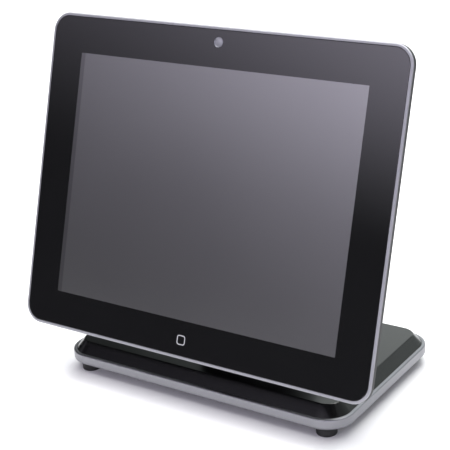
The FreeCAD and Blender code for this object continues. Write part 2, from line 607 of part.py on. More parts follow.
def drive_pin():
    """Depth and height of the drive door's hinge pins."""
    return COVER_DEPTH - DOOR_PIN_R - 0.9, DRIVE_BAY[2] + DOOR_GAP + 2.0


def hinged_door(x0, x1, z0, z1, pin, pin_at_top):
    """A flat door, flush with the cover's back, that turns on two stub pins in a rounded edge."""
    y, z = pin
    knuckle = cylinder("x", COVER_DEPTH - y, x0, x1, y, z)
    if pin_at_top:
        leaf = box(x0, x1, COVER_DEPTH - DOOR_DEPTH, COVER_DEPTH, z0, z)
    else:
        leaf = box(x0, x1, COVER_DEPTH - DOOR_DEPTH, COVER_DEPTH, z, z1)
    pins = [cylinder("x", DOOR_PIN_R, x0 - DOOR_PIN_LENGTH + 0.5, x1 + DOOR_PIN_LENGTH - 0.5, y, z)]
    return union([leaf, knuckle] + pins)


def make_doors():
    """Port door, hinged along its top, and drive door, hinged along its bottom with a finger scoop."""
    half, low, high = port_door_span()
    door = hinged_door(-half, half, low, high, port_pin(), True)
    grip = box(-14.0, 14.0, COVER_DEPTH - 0.9, COVER_DEPTH + 1.0, low + 2.0, low + 3.2)
    grip_low = box(-14.0, 14.0, COVER_DEPTH - 0.9, COVER_DEPTH + 1.0, low + 5.0, low + 6.2)
    keep_head("port_door", door.cut([grip, grip_low]))
    x0, x1, z0, z1 = DRIVE_BAY
    door = hinged_door(x0 + DOOR_GAP, x1 - DOOR_GAP, z0 + DOOR_GAP, z1 - DOOR_GAP, drive_pin(), False)
    middle = (x0 + x1) / 2
    scoop = slot("y", 7.0, 26.0, COVER_DEPTH - 1.0, BIG, middle, z1 - 8.0, 0)
    keep_head("drive_door", door.cut(scoop))


def make_button():
    """Power button: a cap that shows, and a flange behind the wall that keeps it in."""
    cap = cylinder("y", BUTTON_R, COVER_INSIDE - 3.0, COVER_DEPTH + BUTTON_PROUD, BUTTON_X, BUTTON_Z)
    outer = [e for e in cap.Edges if e.BoundBox.YMin > COVER_DEPTH]
    cap = cap.makeFillet(0.8, outer)
    flange = cylinder("y", BUTTON_R + 1.8, COVER_INSIDE - 3.0, COVER_INSIDE - 1.8, BUTTON_X, BUTTON_Z)
    stem = cylinder("y", 2.0, BOARD_BACK + 6.0 + BUTTON_TRAVEL + 0.2, COVER_INSIDE - 3.0, BUTTON_X, BUTTON_Z)
    dish = Part.makeSphere(16.0, Vector(BUTTON_X, COVER_DEPTH + BUTTON_PROUD + 15.5, BUTTON_Z))
    keep_head("power_button", union([cap, flange, stem]).cut(dish))

# ---------------------------------------------------------------- hinge


def ear_outline(reach, half, radius, start, end):
    """A hinge ear in the upright head's frame: a tapered web from the mounting plate to a round end."""
    y0 = PLATE_BACK - 0.5 if reach is None else reach
    web = prism("x", [(y0, MOUNT_HEIGHT - half), (PIVOT_DEPTH, MOUNT_HEIGHT - radius),
                      (PIVOT_DEPTH, MOUNT_HEIGHT + radius), (y0, MOUNT_HEIGHT + half)], start, end)
    return web.fuse(cylinder("x", radius, start, end, PIVOT_DEPTH, MOUNT_HEIGHT))


def make_head_mount():
    """Steel mounting plate with two hinge ears, its screws, and the moulded knuckle cover over the ears."""
    plate = rounded("y", 2 * MOUNT_HALF, 2 * MOUNT_HALF, 6.0, COVER_DEPTH, PLATE_BACK, 0.0, MOUNT_HEIGHT)
    ears = []
    for side in (-1, 1):
        start, end = sorted((side * HEAD_EAR_X, side * HEAD_EAR_OUT))
        ears.append(ear_outline(None, HEAD_EAR_R + 3.0, HEAD_EAR_R, start, end))
    bore = cylinder("x", SHAFT_R + RUNNING, -BIG / 2, BIG / 2, PIVOT_DEPTH, MOUNT_HEIGHT)
    holes = [cylinder("y", 2.25, 0.0, BIG, x, z) for x, z in MOUNT_SPOTS]
    keep_head("mount_plate", union([plate] + ears).cut([bore] + holes))
    keep_head("mount_screws", *[screw("y", x, PLATE_BACK, z, 1, 4.0, 2.4, 2.0, 24.0) for x, z in MOUNT_SPOTS])
    half = HEAD_EAR_X - FIT_GAP
    cover = ear_outline(PLATE_BACK, KNUCKLE_R, KNUCKLE_R, -half, half)
    hollow = ear_outline(PLATE_BACK - 1.0, KNUCKLE_R - NECK_WALL, KNUCKLE_R - NECK_WALL, -half + NECK_WALL, half - NECK_WALL)
    shaft_way = cylinder("x", SHAFT_R + 0.6, -BIG / 2, BIG / 2, PIVOT_DEPTH, MOUNT_HEIGHT)
    keep_head("knuckle_cover", cover.cut([hollow, shaft_way]).removeSplitter())


def make_hinge():
    """Shaft, friction washers, spring washers, lock nuts and end caps, all on the hinge axis of the stand."""
    shaft = cylinder("x", SHAFT_R, -NUT_OUT, NUT_OUT, PIVOT_Y, PIVOT_Z)
    ends = [e for e in shaft.Edges if e.BoundBox.XLength < 1e-3]
    keep("tilt_shaft", shaft.makeChamfer(0.6, ends))
    washers, springs, nuts, caps = [], [], [], []
    for side in (-1, 1):
        a, b = sorted((side * (HEAD_EAR_OUT + 0.02), side * STAND_EAR_X))
        washers.append(tube("x", 10.0, SHAFT_R + 0.1, a, b, PIVOT_Y, PIVOT_Z))
        inner, outer = side * STAND_EAR_OUT, side * SPRING_OUT
        middle = (inner + outer) / 2
        for p, q in ((inner, middle), (outer, middle)):
            dish = Part.makeCone(9.5, 8.3, abs(q - p), Vector(p, PIVOT_Y, PIVOT_Z), Vector(math.copysign(1, q - p), 0, 0))
            a, b = sorted((p, q))
            springs.append(dish.cut(cylinder("x", SHAFT_R + 0.1, a - 1, b + 1, PIVOT_Y, PIVOT_Z)))
        a, b = sorted((side * SPRING_OUT, side * NUT_OUT))
        corner = 9.2
        hexagon = [(PIVOT_Y + corner * math.cos(math.radians(60 * i)), PIVOT_Z + corner * math.sin(math.radians(60 * i)))
                   for i in range(6)]
        nuts.append(prism("x", hexagon, a, b).cut(cylinder("x", SHAFT_R + 0.05, a - 1, b + 1, PIVOT_Y, PIVOT_Z)))
        a, b = sorted((side * (BARREL_HALF - NECK_WALL), side * (BARREL_HALF + 0.8)))
        cap = cylinder("x", BARREL_R - 4.0, a, b, PIVOT_Y, PIVOT_Z)
        edge = [e for e in cap.Edges if abs(abs(e.CenterOfMass.x) - BARREL_HALF - 0.8) < 1e-3 and e.BoundBox.XLength < 1e-3]
        caps.append(cap.makeFillet(0.7, edge))
    keep("friction_washers", *washers)
    keep("spring_washers", *springs)
    keep("lock_nuts", *nuts)
    keep("hinge_caps", *caps)

# ---------------------------------------------------------------- stand: neck


NECK_SEAT = DECK_HIGH


def neck_outline(inset_by, foot_z):
    """The neck's side view: a web from the deck to a round barrel at the hinge axis, moved in by a distance."""
    radius = BARREL_R - inset_by
    tilt = math.atan2((NECK_FOOT_FRONT + NECK_FOOT_BACK) / 2 - PIVOT_Y, PIVOT_Z - NECK_SEAT)
    across = (math.cos(tilt), math.sin(tilt))
    points = [(NECK_FOOT_FRONT + inset_by, foot_z), (NECK_FOOT_BACK - inset_by, foot_z),
              (PIVOT_Y + radius * across[0], PIVOT_Z + radius * across[1]),
              (PIVOT_Y - radius * across[0], PIVOT_Z - radius * across[1])]
    return points, radius


def neck_body(inset_by, foot_z, half):
    """The neck as a solid, half millimetres to each side."""
    points, radius = neck_outline(inset_by, foot_z)
    return prism("x", points, -half, half).fuse(cylinder("x", radius, -half, half, PIVOT_Y, PIVOT_Z))


def knuckle_notch(grow, half):
    """The room in the neck that the head's knuckle turns in, open to the front and the top."""
    radius = KNUCKLE_R + NOTCH_GAP + grow
    front = box(-half, half, PIVOT_Y - 3 * BARREL_R, PIVOT_Y, PIVOT_Z - radius, PIVOT_Z + 3 * BARREL_R)
    return cylinder("x", radius, -half, half, PIVOT_Y, PIVOT_Z).fuse(front)


def neck_front_region():
    """Everything on the front side of the split between the two neck covers."""
    middle = (NECK_FOOT_FRONT + NECK_FOOT_BACK) / 2
    up_y, up_z = PIVOT_Y - middle, PIVOT_Z - NECK_SEAT
    far = (middle + 3 * up_y, NECK_SEAT + 3 * up_z)
    near = (middle - 2 * up_y, NECK_SEAT - 2 * up_z)
    return prism("x", [near, far, (-BIG, far[1]), (-BIG, near[1])], -BIG / 2, BIG / 2)


NECK_SCREWS = [(sx * (STAND_EAR_X + NECK_PLATE / 2), 58.0) for sx in (-1, 1)]


def window_block(grow, y0, y1):
    """The cable window through the neck, grown by a distance all round."""
    return rounded("y", 2 * (WINDOW_HALF + grow), WINDOW_HIGH - WINDOW_LOW + 2 * grow, WINDOW_CORNER + grow,
                   y0, y1, 0.0, (WINDOW_LOW + WINDOW_HIGH) / 2)


def make_neck_covers():
    """Front and rear halves of the moulded neck, with the cable window and its rubber lining."""
    shell = neck_body(0.0, NECK_SEAT, BARREL_HALF)
    hollow = neck_body(NECK_WALL, NECK_SEAT - 1.0, BARREL_HALF - NECK_WALL)
    knuckle_gap = HEAD_EAR_OUT + WASHER_DEPTH / 2
    knuckle_room = knuckle_notch(0.0, knuckle_gap)
    cap_room = cylinder("x", BARREL_R - 4.0 + 0.15, -BIG / 2, BIG / 2, PIVOT_Y, PIVOT_Z)
    window = window_block(GROMMET_WALL, -BIG, BIG)
    walls = shell.cut([hollow, knuckle_room, cap_room, window])
    # closing wall under the knuckle, round the gap that the head's ears turn in
    web = knuckle_notch(NECK_WALL, knuckle_gap).cut(knuckle_room)
    web = web.common(neck_body(NECK_WALL / 2, NECK_SEAT, knuckle_gap))
    walls = walls.fuse(web).removeSplitter()
    front_region = neck_front_region()
    front = walls.common(front_region)
    rear = walls.cut(front_region)
    screw_holes = []
    for x, z in NECK_SCREWS:
        screw_holes.append(cylinder("y", 1.5 + SCREW_GAP, -BIG, BIG, x, z))
        screw_holes.append(cylinder("y", 3.0 + FIT_GAP, rear_face_y(z) - NECK_SEAT_CUT, BIG, x, z))
    rear = rear.cut(screw_holes)
    keep("neck_front_cover", largest(front))
    keep("neck_rear_cover", largest(rear))
    ys = rear_face_y(NECK_SCREWS[0][1])
    keep("neck_screws", *[screw_into_bracket(x, z, ys) for x, z in NECK_SCREWS])


def largest(shape):
    """The shape's largest solid; the tool cuts leave slivers that belong to no piece."""
    return max(shape.Solids, key=lambda s: s.Volume)


def rear_face_y(z):
    """The y of the neck's rear face at a height."""
    points, _ = neck_outline(0.0, NECK_SEAT)
    (y0, z0), (y1, z1) = points[1], points[2]
    return y0 + (y1 - y0) * (z - z0) / (z1 - z0)


def screw_into_bracket(x, z, y):
    """A screw through the rear cover; its head seats on a flat cut in the sloped face."""
    return screw("y", x, y - NECK_SEAT_CUT, z, 1, 3.0, 1.8, 1.5, 16.0)


def make_grommet():
    """Rubber lining of the cable window, with a lip on the rear face."""
    back = rear_face_y(WINDOW_LOW) + 2.0
    sleeve = window_block(GROMMET_WALL - 0.1, -BIG / 4, back).cut(window_block(0.0, -BIG, BIG))
    inside = neck_body(-1.2, NECK_SEAT, BARREL_HALF)
    keep("cable_grommet", largest(sleeve.common(inside).cut(neck_front_region())))


def make_bracket():
    """Steel neck bracket: two side plates with hinge ears, a cross plate and a foot bolted to the base plate."""
    foot_depth = 4.0
    foot_z = PLATE_HIGH
    clear = NECK_WALL + 1.0
    points, _ = neck_outline(clear, NECK_SEAT)
    radius = BARREL_R - clear
    side_plates = []
    for side in (-1, 1):
        start, end = sorted((side * STAND_EAR_X, side * STAND_EAR_OUT))
        web = prism("x", points, start, end)
        leg = box(start, end, NECK_FOOT_FRONT + clear, NECK_FOOT_BACK - clear, foot_z, NECK_SEAT)
        side_plates.append(web.fuse([leg, cylinder("x", radius, start, end, PIVOT_Y, PIVOT_Z)]))
    foot = box(-STAND_EAR_OUT, STAND_EAR_OUT, NECK_FOOT_FRONT + clear, NECK_FOOT_BACK - clear, foot_z, foot_z + foot_depth)
    middle = (NECK_FOOT_FRONT + NECK_FOOT_BACK) / 2
    cross = box(-STAND_EAR_X, STAND_EAR_X, middle - 3.0, middle + 3.0, foot_z, WINDOW_LOW - GROMMET_WALL - 2.0)
    bore = cylinder("x", SHAFT_R + RUNNING, -BIG / 2, BIG / 2, PIVOT_Y, PIVOT_Z)
    bolt_spots = [(sx * 26.0, y) for sx in (-1, 1) for y in (NECK_FOOT_FRONT + 14.0, NECK_FOOT_BACK - 14.0)]
    holes = [cylinder("z", 2.5 + SCREW_GAP, 0.0, NECK_SEAT, x, y) for x, y in bolt_spots]
    pilot = [cylinder("y", 1.5 + SCREW_GAP, -BIG / 2, BIG / 2, x, z) for x, z in NECK_SCREWS]
    keep("neck_bracket", union(side_plates + [foot, cross]).cut([bore] + holes + pilot))
    keep("bracket_bolts", *[screw("z", x, y, PLATE_LOW, -1, 4.2, 1.9, 2.5, PLATE_DEPTH + foot_depth + 1.0)
                            for x, y in bolt_spots])
    return bolt_spots

# ---------------------------------------------------------------- stand: base


DECK_SCREWS = [(sx * 95.0, sy * 74.0) for sx in (-1, 1) for sy in (-1, 1)]
FOOT_SPOTS = {
    f"foot_{row}_{side}": (sx * (BASE_WIDTH / 2 - FOOT_INSET_X), sy * (BASE_DEPTH / 2 - FOOT_INSET_Y))
    for row, sy in (("front", -1), ("back", 1)) for side, sx in (("left", -1), ("right", 1))
}
COUNTER_PITCH = 75.0        # square pattern of the holes that bolt the base to a counter
COUNTER_HOLE_R = 2.25
COUNTER_Y = -35.0
COUNTER_SPOTS = [(sx * COUNTER_PITCH / 2, COUNTER_Y + sy * COUNTER_PITCH / 2) for sx in (-1, 1) for sy in (-1, 1)]


def base_block(inset_by, z0, z1):
    """The base's rounded outline, moved in by a distance, between two heights."""
    return rounded("z", BASE_WIDTH - 2 * inset_by, BASE_DEPTH - 2 * inset_by, BASE_CORNER - inset_by, z0, z1)


def make_rim():
    """Silver rim of the base, with a flange inside its lower edge that the base plate lies on."""
    body = base_block(0.0, RIM_LOW, RIM_HIGH)
    upper = [e for e in body.Edges if e.BoundBox.ZMin > RIM_HIGH - 1e-3]
    body = body.makeFillet(RIM_SHOULDER, upper)
    lower = [e for e in body.Edges if e.BoundBox.ZMax < RIM_LOW + 1e-3]
    body = body.makeFillet(RIM_UNDERCUT, lower)
    pocket = base_block(RIM_WALL, PLATE_LOW, RIM_HIGH + 1.0)
    opening = base_block(RIM_WALL + RIM_FLANGE, 0.0, RIM_HIGH)
    keep("base_rim", body.cut([pocket, opening]))


def make_base_plate(bolt_spots):
    """Steel plate that closes the base from below, its ballast and the screws that hold the deck."""
    plate = base_block(RIM_WALL + FIT_GAP, PLATE_LOW, PLATE_HIGH)
    holes = [cylinder("z", 2.5 + SCREW_GAP, 0.0, NECK_SEAT, x, y) for x, y in bolt_spots]
    holes += [cylinder("z", 1.7 + SCREW_GAP, 0.0, NECK_SEAT, x, y) for x, y in DECK_SCREWS]
    holes += [cylinder("z", COUNTER_HOLE_R, 0.0, NECK_SEAT, x, y) for x, y in COUNTER_SPOTS]
    keep("base_plate", plate.cut(holes))
    blocks = []
    for side in (-1, 1):
        span = sorted((side * 66.0, side * 140.0))
        block = box(*span, -62.0, 62.0, PLATE_HIGH, PLATE_HIGH + 9.0)
        upright = [e for e in block.Edges if e.tangentAt(e.FirstParameter).cross(AXES["z"]).Length < 1e-6]
        blocks.append(block.makeFillet(5.0, upright))
    keep("ballast_weights", *blocks)
    keep("base_screws", *[screw("z", x, y, PLATE_LOW, -1, 3.2, 1.7, 1.7, 9.0) for x, y in DECK_SCREWS])


def deck_body(inset_by, foot_z):
    """The deck's outer form, or its hollow when inset_by is the wall: upright edge, sloped border, flat top."""
    body = base_block(RIM_WALL + FIT_GAP + inset_by, foot_z, DECK_HIGH - inset_by)
    top_edges = [e for e in body.Edges if e.BoundBox.ZMin > DECK_HIGH - inset_by - 1e-3]
    body = body.makeChamfer(DECK_RISE - inset_by, DECK_SLOPE, top_edges)
    if inset_by:
        return body
    crest = [e for e in body.Edges if e.BoundBox.ZMin > DECK_HIGH - 1e-3]
    return body.makeFillet(DECK_ROUND, crest)


def make_deck():
    """Black deck of the base, open where the neck bracket comes through."""
    outer = deck_body(0.0, PLATE_HIGH)
    hollow = deck_body(DECK_WALL, PLATE_HIGH - DECK_WALL - 1.0)
    shell = outer.cut(hollow)
    bosses = [cylinder("z", 4.0, PLATE_HIGH, DECK_HIGH - DECK_WALL / 2, x, y) for x, y in DECK_SCREWS]
    neck_way = box(-STAND_EAR_OUT - 2.0, STAND_EAR_OUT + 2.0, NECK_FOOT_FRONT + 3.0, NECK_FOOT_BACK - 3.0, 0.0, BIG)
    pilots = [cylinder("z", 1.7 + SCREW_GAP, 0.0, PLATE_HIGH + 7.0, x, y) for x, y in DECK_SCREWS]
    keep("base_deck", union([shell] + bosses).cut([neck_way] + pilots))


def make_feet():
    """Four round rubber feet under the base plate."""
    for name, (x, y) in FOOT_SPOTS.items():
        foot = Part.makeCone(FOOT_R - 0.8, FOOT_R, PLATE_LOW, Vector(x, y, 0), AXES["z"])
        sole = [e for e in foot.Edges if e.BoundBox.ZMax < 1e-3]
        keep(name, foot.makeFillet(1.0, sole))


def main():
    os.makedirs("parts", exist_ok=True)
    make_bezel()
    make_glass()
    make_camera()
    make_display()
    make_chassis()
    make_board()
    make_drive()
    make_small_electronics()
    make_ports()
    make_rear_cover()
    make_doors()
    make_button()
    make_head_mount()
    make_hinge()
    make_neck_covers()
    make_grommet()
    bolt_spots = make_bracket()
    make_rim()
    make_base_plate(bolt_spots)
    make_deck()
    make_feet()


main()
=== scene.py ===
"""Looks of a countertop touch-screen checkout terminal on a low weighted stand.

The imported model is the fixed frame. Its parts keep their shapes and get real finishes, and the pieces
that the eye goes to, such as the cover glass, the sockets' contacts and the rubber feet, are modelled
here. Lengths of the pieces are in millimetres, and the helpers turn them into metres. Lengths of the
studio are in metres.
"""

import json
import logging
import math
from dataclasses import dataclass
from enum import Enum
from typing import Callable, Optional, Sequence

import bmesh
import bpy
from mathutils import Matrix, Vector

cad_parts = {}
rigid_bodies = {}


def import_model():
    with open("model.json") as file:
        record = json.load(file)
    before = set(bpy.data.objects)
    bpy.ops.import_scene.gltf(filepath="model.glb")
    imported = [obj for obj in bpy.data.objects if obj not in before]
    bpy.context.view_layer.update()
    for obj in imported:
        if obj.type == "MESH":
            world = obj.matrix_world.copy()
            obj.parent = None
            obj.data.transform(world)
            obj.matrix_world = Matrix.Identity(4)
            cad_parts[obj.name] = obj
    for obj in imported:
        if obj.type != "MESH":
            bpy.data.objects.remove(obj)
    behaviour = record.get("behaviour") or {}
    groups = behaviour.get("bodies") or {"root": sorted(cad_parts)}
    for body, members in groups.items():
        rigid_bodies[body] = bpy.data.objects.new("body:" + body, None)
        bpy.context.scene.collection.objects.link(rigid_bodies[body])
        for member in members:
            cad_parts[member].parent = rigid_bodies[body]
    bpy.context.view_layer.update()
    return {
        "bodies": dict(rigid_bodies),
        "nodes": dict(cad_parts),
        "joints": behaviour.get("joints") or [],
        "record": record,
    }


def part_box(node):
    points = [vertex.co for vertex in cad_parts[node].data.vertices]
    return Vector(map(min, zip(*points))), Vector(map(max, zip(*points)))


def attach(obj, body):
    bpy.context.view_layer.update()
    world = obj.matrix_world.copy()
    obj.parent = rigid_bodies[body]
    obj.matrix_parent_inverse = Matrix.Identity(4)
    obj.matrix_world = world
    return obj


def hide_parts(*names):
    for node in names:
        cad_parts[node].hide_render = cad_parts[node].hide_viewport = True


log = logging.getLogger("terminal")

MM = 0.001
EPSILON = 1e-5
X, Y, Z = range(3)
# How far a cutter reaches past what it cuts, in millimetres.
CLEAR = 1.0
# How near a face's normal lies to an axis, as a cosine.
EXACTLY, MOSTLY, RATHER = 0.999, 0.9, 0.5

Node = bpy.types.Node
Socket = bpy.types.NodeSocket
Tree = bpy.types.NodeTree
Object = bpy.types.Object
Material = bpy.types.Material


# ---------------------------------------------------------------- colour and nodes


def linear(code: str) -> tuple[float, float, float, float]:
    """Turns an sRGB hex colour, by the standard's curve, into the linear values that shaders take.

    Args:
        code: Six hex digits with a leading hash.

    Returns:
        Linear red, green, blue and an alpha of one.
    """
    channels = [int(code[i:i + 2], 16) / 255 for i in (1, 3, 5)]
    values = [c / 12.92 if c <= 0.04045 else ((c + 0.055) / 1.055) ** 2.4 for c in channels]
    return values[0], values[1], values[2], 1.0


def add_node(tree: Tree, kind: str, values: Optional[dict] = None, links: Optional[dict] = None,
             **settings) -> Node:
    """Adds one node with its settings, socket values and incoming links.

    Args:
        tree: The node tree it goes in.
        kind: The node's bl_idname.
        values: Socket name or index to a constant.
        links: Socket name or index to the output socket that feeds it.
        **settings: Attributes of the node itself.

    Returns:
        The new node.
    """
    made = tree.nodes.new(kind)
    for key, value in settings.items():
        setattr(made, key, value)
    for key, value in (values or {}).items():
        made.inputs[key].default_value = value
    for key, source in (links or {}).items():
        tree.links.new(source, made.inputs[key])
    return made


def combine(tree: Tree, operation: str, sources: Sequence[Socket]) -> Socket:
    """Runs several values through one operation, one after another.

    Args:
        tree: The node tree.
        operation: The operation's name on the maths node.
        sources: The values' outputs.

    Returns:
        The result's output.
    """
    total = sources[0]
    for source in sources[1:]:
        total = add_node(tree, "ShaderNodeMath", links={0: total, 1: source},
                         operation=operation).outputs["Value"]
    return total


class Texture(Enum):
    """How a surface's fine relief was made."""

    MOULDED = "spark-eroded mould grain"
    BLASTED = "bead-blasted or flake paint"
    BRUSHED = "brushed along X"
    CAST = "orange-peel powder coat"
    SMOOTH = "polished or glossy"


# Where most of a noise texture's values lie, and the least roughness of a real surface.
NOISE_LOW, NOISE_HIGH = 0.3, 0.7
LEAST_ROUGHNESS = 0.02
# How much finer the noise inside the mould grain is.
FINE_GRAIN = 2.3
# How brushing draws the noise out along X and packs it across.
BRUSH_DRAW, BRUSH_PACK = 0.03, 2.0
# From here on a surface counts as metal, which has no refractive index of its own.
METAL = 0.5


@dataclass(frozen=True)
class Finish:
    """One real material and the way its surface was made.

    Sizes are in millimetres: grain is the relief's spacing, patch that of the slow changes in tone.
    """

    name: str
    base: str
    tone: str
    roughness: float
    texture: Texture
    metallic: float = 0.0
    ior: float = 1.5
    grain: float = 1.4
    relief: float = 0.02
    patch: float = 45.0
    spread: float = 0.06
    coat: float = 0.0
    coat_roughness: float = 0.08
    glow: str = ""
    glow_strength: float = 0.0

    def build(self) -> Material:
        """Makes the node material.

        Returns:
            The finished material, under the finish's own name.
        """
        found = bpy.data.materials.get(self.name)
        if found is not None:
            return found
        material = bpy.data.materials.new(self.name)
        material.use_nodes = True
        tree = material.node_tree
        tree.nodes.clear()
        place = add_node(tree, "ShaderNodeTexCoord").outputs["Object"]
        per_patch = 1 / (self.patch * MM)
        slow = add_node(tree, "ShaderNodeTexNoise",
                        {"Scale": per_patch, "Detail": 3.0, "Roughness": 0.55}, {"Vector": place})
        colour = add_node(tree, "ShaderNodeMix", {6: linear(self.base), 7: linear(self.tone)},
                          {0: slow.outputs["Fac"]}, data_type="RGBA")
        rough = add_node(tree, "ShaderNodeMapRange",
                         {"From Min": NOISE_LOW, "From Max": NOISE_HIGH,
                          "To Min": max(self.roughness - self.spread, LEAST_ROUGHNESS),
                          "To Max": self.roughness + self.spread}, {"Value": slow.outputs["Fac"]})
        shader = add_node(tree, "ShaderNodeBsdfPrincipled",
                          {"Metallic": self.metallic, "Coat Weight": self.coat,
                           "Coat Roughness": self.coat_roughness},
                          {"Base Color": colour.outputs[2], "Roughness": rough.outputs["Result"]})
        if self.metallic < METAL:
            shader.inputs["IOR"].default_value = self.ior
        if self.glow:
            shader.inputs["Emission Color"].default_value = linear(self.glow)
            shader.inputs["Emission Strength"].default_value = self.glow_strength
        relief = self.relief_height(tree, place)
        if relief is not None:
            bump = add_node(tree, "ShaderNodeBump", {"Strength": 1.0, "Distance": self.relief * MM},
                            {"Height": relief})
            tree.links.new(bump.outputs["Normal"], shader.inputs["Normal"])
        add_node(tree, "ShaderNodeOutputMaterial", links={"Surface": shader.outputs["BSDF"]})
        return material

    def relief_height(self, tree: Tree, place: Socket) -> Optional[Socket]:
        """Adds the fine relief of the surface.

        Args:
            tree: The material's node tree.
            place: Object coordinates, in metres.

        Returns:
            The height output, or None for a polished surface.
        """
        per_grain = 1 / (self.grain * MM)
        if self.texture is Texture.SMOOTH:
            return None
        if self.texture is Texture.MOULDED:
            cells = add_node(tree, "ShaderNodeTexVoronoi", {"Scale": per_grain, "Randomness": 1.0},
                             {"Vector": place}, feature="SMOOTH_F1")
            fine = add_node(tree, "ShaderNodeTexNoise",
                            {"Scale": per_grain * FINE_GRAIN, "Detail": 2.0}, {"Vector": place})
            return combine(tree, "ADD", (cells.outputs["Distance"], fine.outputs["Fac"]))
        if self.texture is Texture.BRUSHED:
            drawn = add_node(tree, "ShaderNodeMapping", {"Scale": (BRUSH_DRAW, 1.0, 1.0)},
                             {"Vector": place})
            lines = add_node(tree, "ShaderNodeTexNoise",
                             {"Scale": per_grain * BRUSH_PACK, "Detail": 4.0},
                             {"Vector": drawn.outputs["Vector"]})
            return lines.outputs["Fac"]
        detail = 5.0 if self.texture is Texture.BLASTED else 1.0
        dots = add_node(tree, "ShaderNodeTexNoise",
                        {"Scale": per_grain, "Detail": detail, "Roughness": 0.6}, {"Vector": place})
        return dots.outputs["Fac"]


# Soda-lime cover glass printed black behind: a deep, wet black with sharp reflections.
PRINTED_GLASS = Finish("black_printed_glass", "#131314", "#161617", 0.05, Texture.SMOOTH, spread=0.012,
                       patch=70.0)
# The same glass over an unlit matte panel; the high index stands for the layers that mirror together.
DISPLAY_GLASS = Finish("unlit_display_glass", "#111112", "#131314", 0.29, Texture.SMOOTH, ior=2.5,
                       spread=0.01, patch=160.0, coat=0.6, coat_roughness=0.06)
# The panel's masked edge under the same glass, with fewer layers, so it shows as a darker strip.
DISPLAY_EDGE = Finish("display_edge_mask", "#0f0f10", "#111112", 0.29, Texture.SMOOTH, ior=2.1,
                      spread=0.01, patch=160.0, coat=0.6, coat_roughness=0.06)
# Silver flake lacquer on an aluminium extrusion: an even satin grey.
SILVER = Finish("silver_satin_lacquer", "#86868a", "#8e8e93", 0.36, Texture.BLASTED, metallic=0.9,
                grain=0.9, relief=0.006, patch=60.0, spread=0.03)
# The same lacquer on the head's rounded lip: less polished, so it gleams evenly, and paler, a painted
# highlight that brightens the lip.
LIP_SILVER_PAINTED_HIGHLIGHT = Finish("silver_lip_painted_highlight", "#99999e", "#a1a1a6", 0.52, Texture.BLASTED, metallic=0.85,
                    grain=0.8, relief=0.005, patch=60.0, spread=0.03)
# Clear anodised trim round the camera.
ANODISED = Finish("clear_anodised_trim", "#85868c", "#8e8f95", 0.38, Texture.BLASTED, metallic=1.0,
                  grain=0.8, relief=0.004)
# Satin injection-moulded ABS of the deck, neck and knuckle: near black with a soft highlight.
SATIN_ABS = Finish("satin_black_abs", "#080809", "#0b0b0c", 0.19, Texture.MOULDED, ior=1.53, grain=1.1,
                   relief=0.004, spread=0.03, patch=80.0)
# Textured ABS of the back cover and doors: a dull charcoal with visible grain.
GRAINED_ABS = Finish("grained_charcoal_abs", "#131314", "#171719", 0.55, Texture.MOULDED, ior=1.53,
                     grain=1.6, relief=0.02, spread=0.05, patch=90.0)
# Black polyester powder coat on steel: slight orange peel.
POWDER = Finish("black_powder_coat", "#161618", "#1b1b1e", 0.42, Texture.CAST, grain=2.2, relief=0.03,
                spread=0.04)
# Zinc-plated sheet: pale, faintly blue, rolled along one way.
ZINC = Finish("zinc_plated_sheet", "#9da1a6", "#aeb1b4", 0.34, Texture.BRUSHED, metallic=1.0, grain=0.8,
              relief=0.006, patch=25.0)
# Bright turned steel of shaft, washers and nuts.
STEEL = Finish("turned_bright_steel", "#a7a8aa", "#b8b9ba", 0.22, Texture.BRUSHED, metallic=1.0,
               grain=0.5, relief=0.004, patch=12.0)
# Black-oxide screws, slightly oily.
OXIDE = Finish("black_oxide_steel", "#242425", "#2e2e30", 0.34, Texture.BLASTED, metallic=0.8,
               grain=0.6, relief=0.006, patch=8.0)
# Natural rubber feet and grommet: matte black, faintly dusty.
RUBBER = Finish("black_moulded_rubber", "#101010", "#181817", 0.68, Texture.MOULDED, ior=1.52,
                grain=0.9, relief=0.02, patch=15.0)
# Glass-epoxy board under green solder mask.
BOARD = Finish("green_solder_mask", "#0d3b22", "#124a2b", 0.30, Texture.CAST, grain=1.2, relief=0.02,
               patch=9.0)
# Moulded epoxy of chips.
EPOXY = Finish("black_epoxy_resin", "#1a1a1b", "#222223", 0.5, Texture.BLASTED, grain=0.5, relief=0.01,
               patch=6.0)
# Extruded aluminium of the cooler and the drive's case.
EXTRUDED = Finish("extruded_aluminium", "#8f9296", "#a2a5a8", 0.36, Texture.BRUSHED, metallic=1.0,
                  grain=0.7, relief=0.008, patch=18.0)
# Nickel-plated shells of the sockets.
NICKEL = Finish("nickel_plated_shell", "#b0aea8", "#bdbbb5", 0.24, Texture.BRUSHED, metallic=1.0,
                grain=0.4, relief=0.003, patch=6.0)
# Flash gold on spring contacts.
GOLD = Finish("gold_flash_contact", "#c79a45", "#d6ab57", 0.22, Texture.SMOOTH, metallic=1.0, patch=2.0)
# Blue plastic tongues of the data sockets.
TONGUE = Finish("blue_socket_tongue", "#123d8c", "#164796", 0.4, Texture.SMOOTH, patch=3.0)
# Foam and adhesive seals, and the dark ring that paints the shadow line in the glass's gap.
FOAM_AND_GAP_SHADE = Finish("black_foam_and_gap_shade", "#151515", "#1c1c1c", 0.85, Texture.CAST, grain=0.7, relief=0.03,
              patch=9.0)
# Tinted acrylic window of the camera: smoky, with a pale reflection.
CAMERA_WINDOW = Finish("smoked_camera_window", "#6a6a71", "#707078", 0.22, Texture.SMOOTH, ior=1.49,
                       patch=5.0, coat=0.8, coat_roughness=0.04)
# Light pipe, lit while the terminal is on standby.
PIPE = Finish("green_light_pipe", "#9fd8b0", "#a9dfb9", 0.25, Texture.SMOOTH, ior=1.49, patch=4.0,
              glow="#3fe07a", glow_strength=0.7)
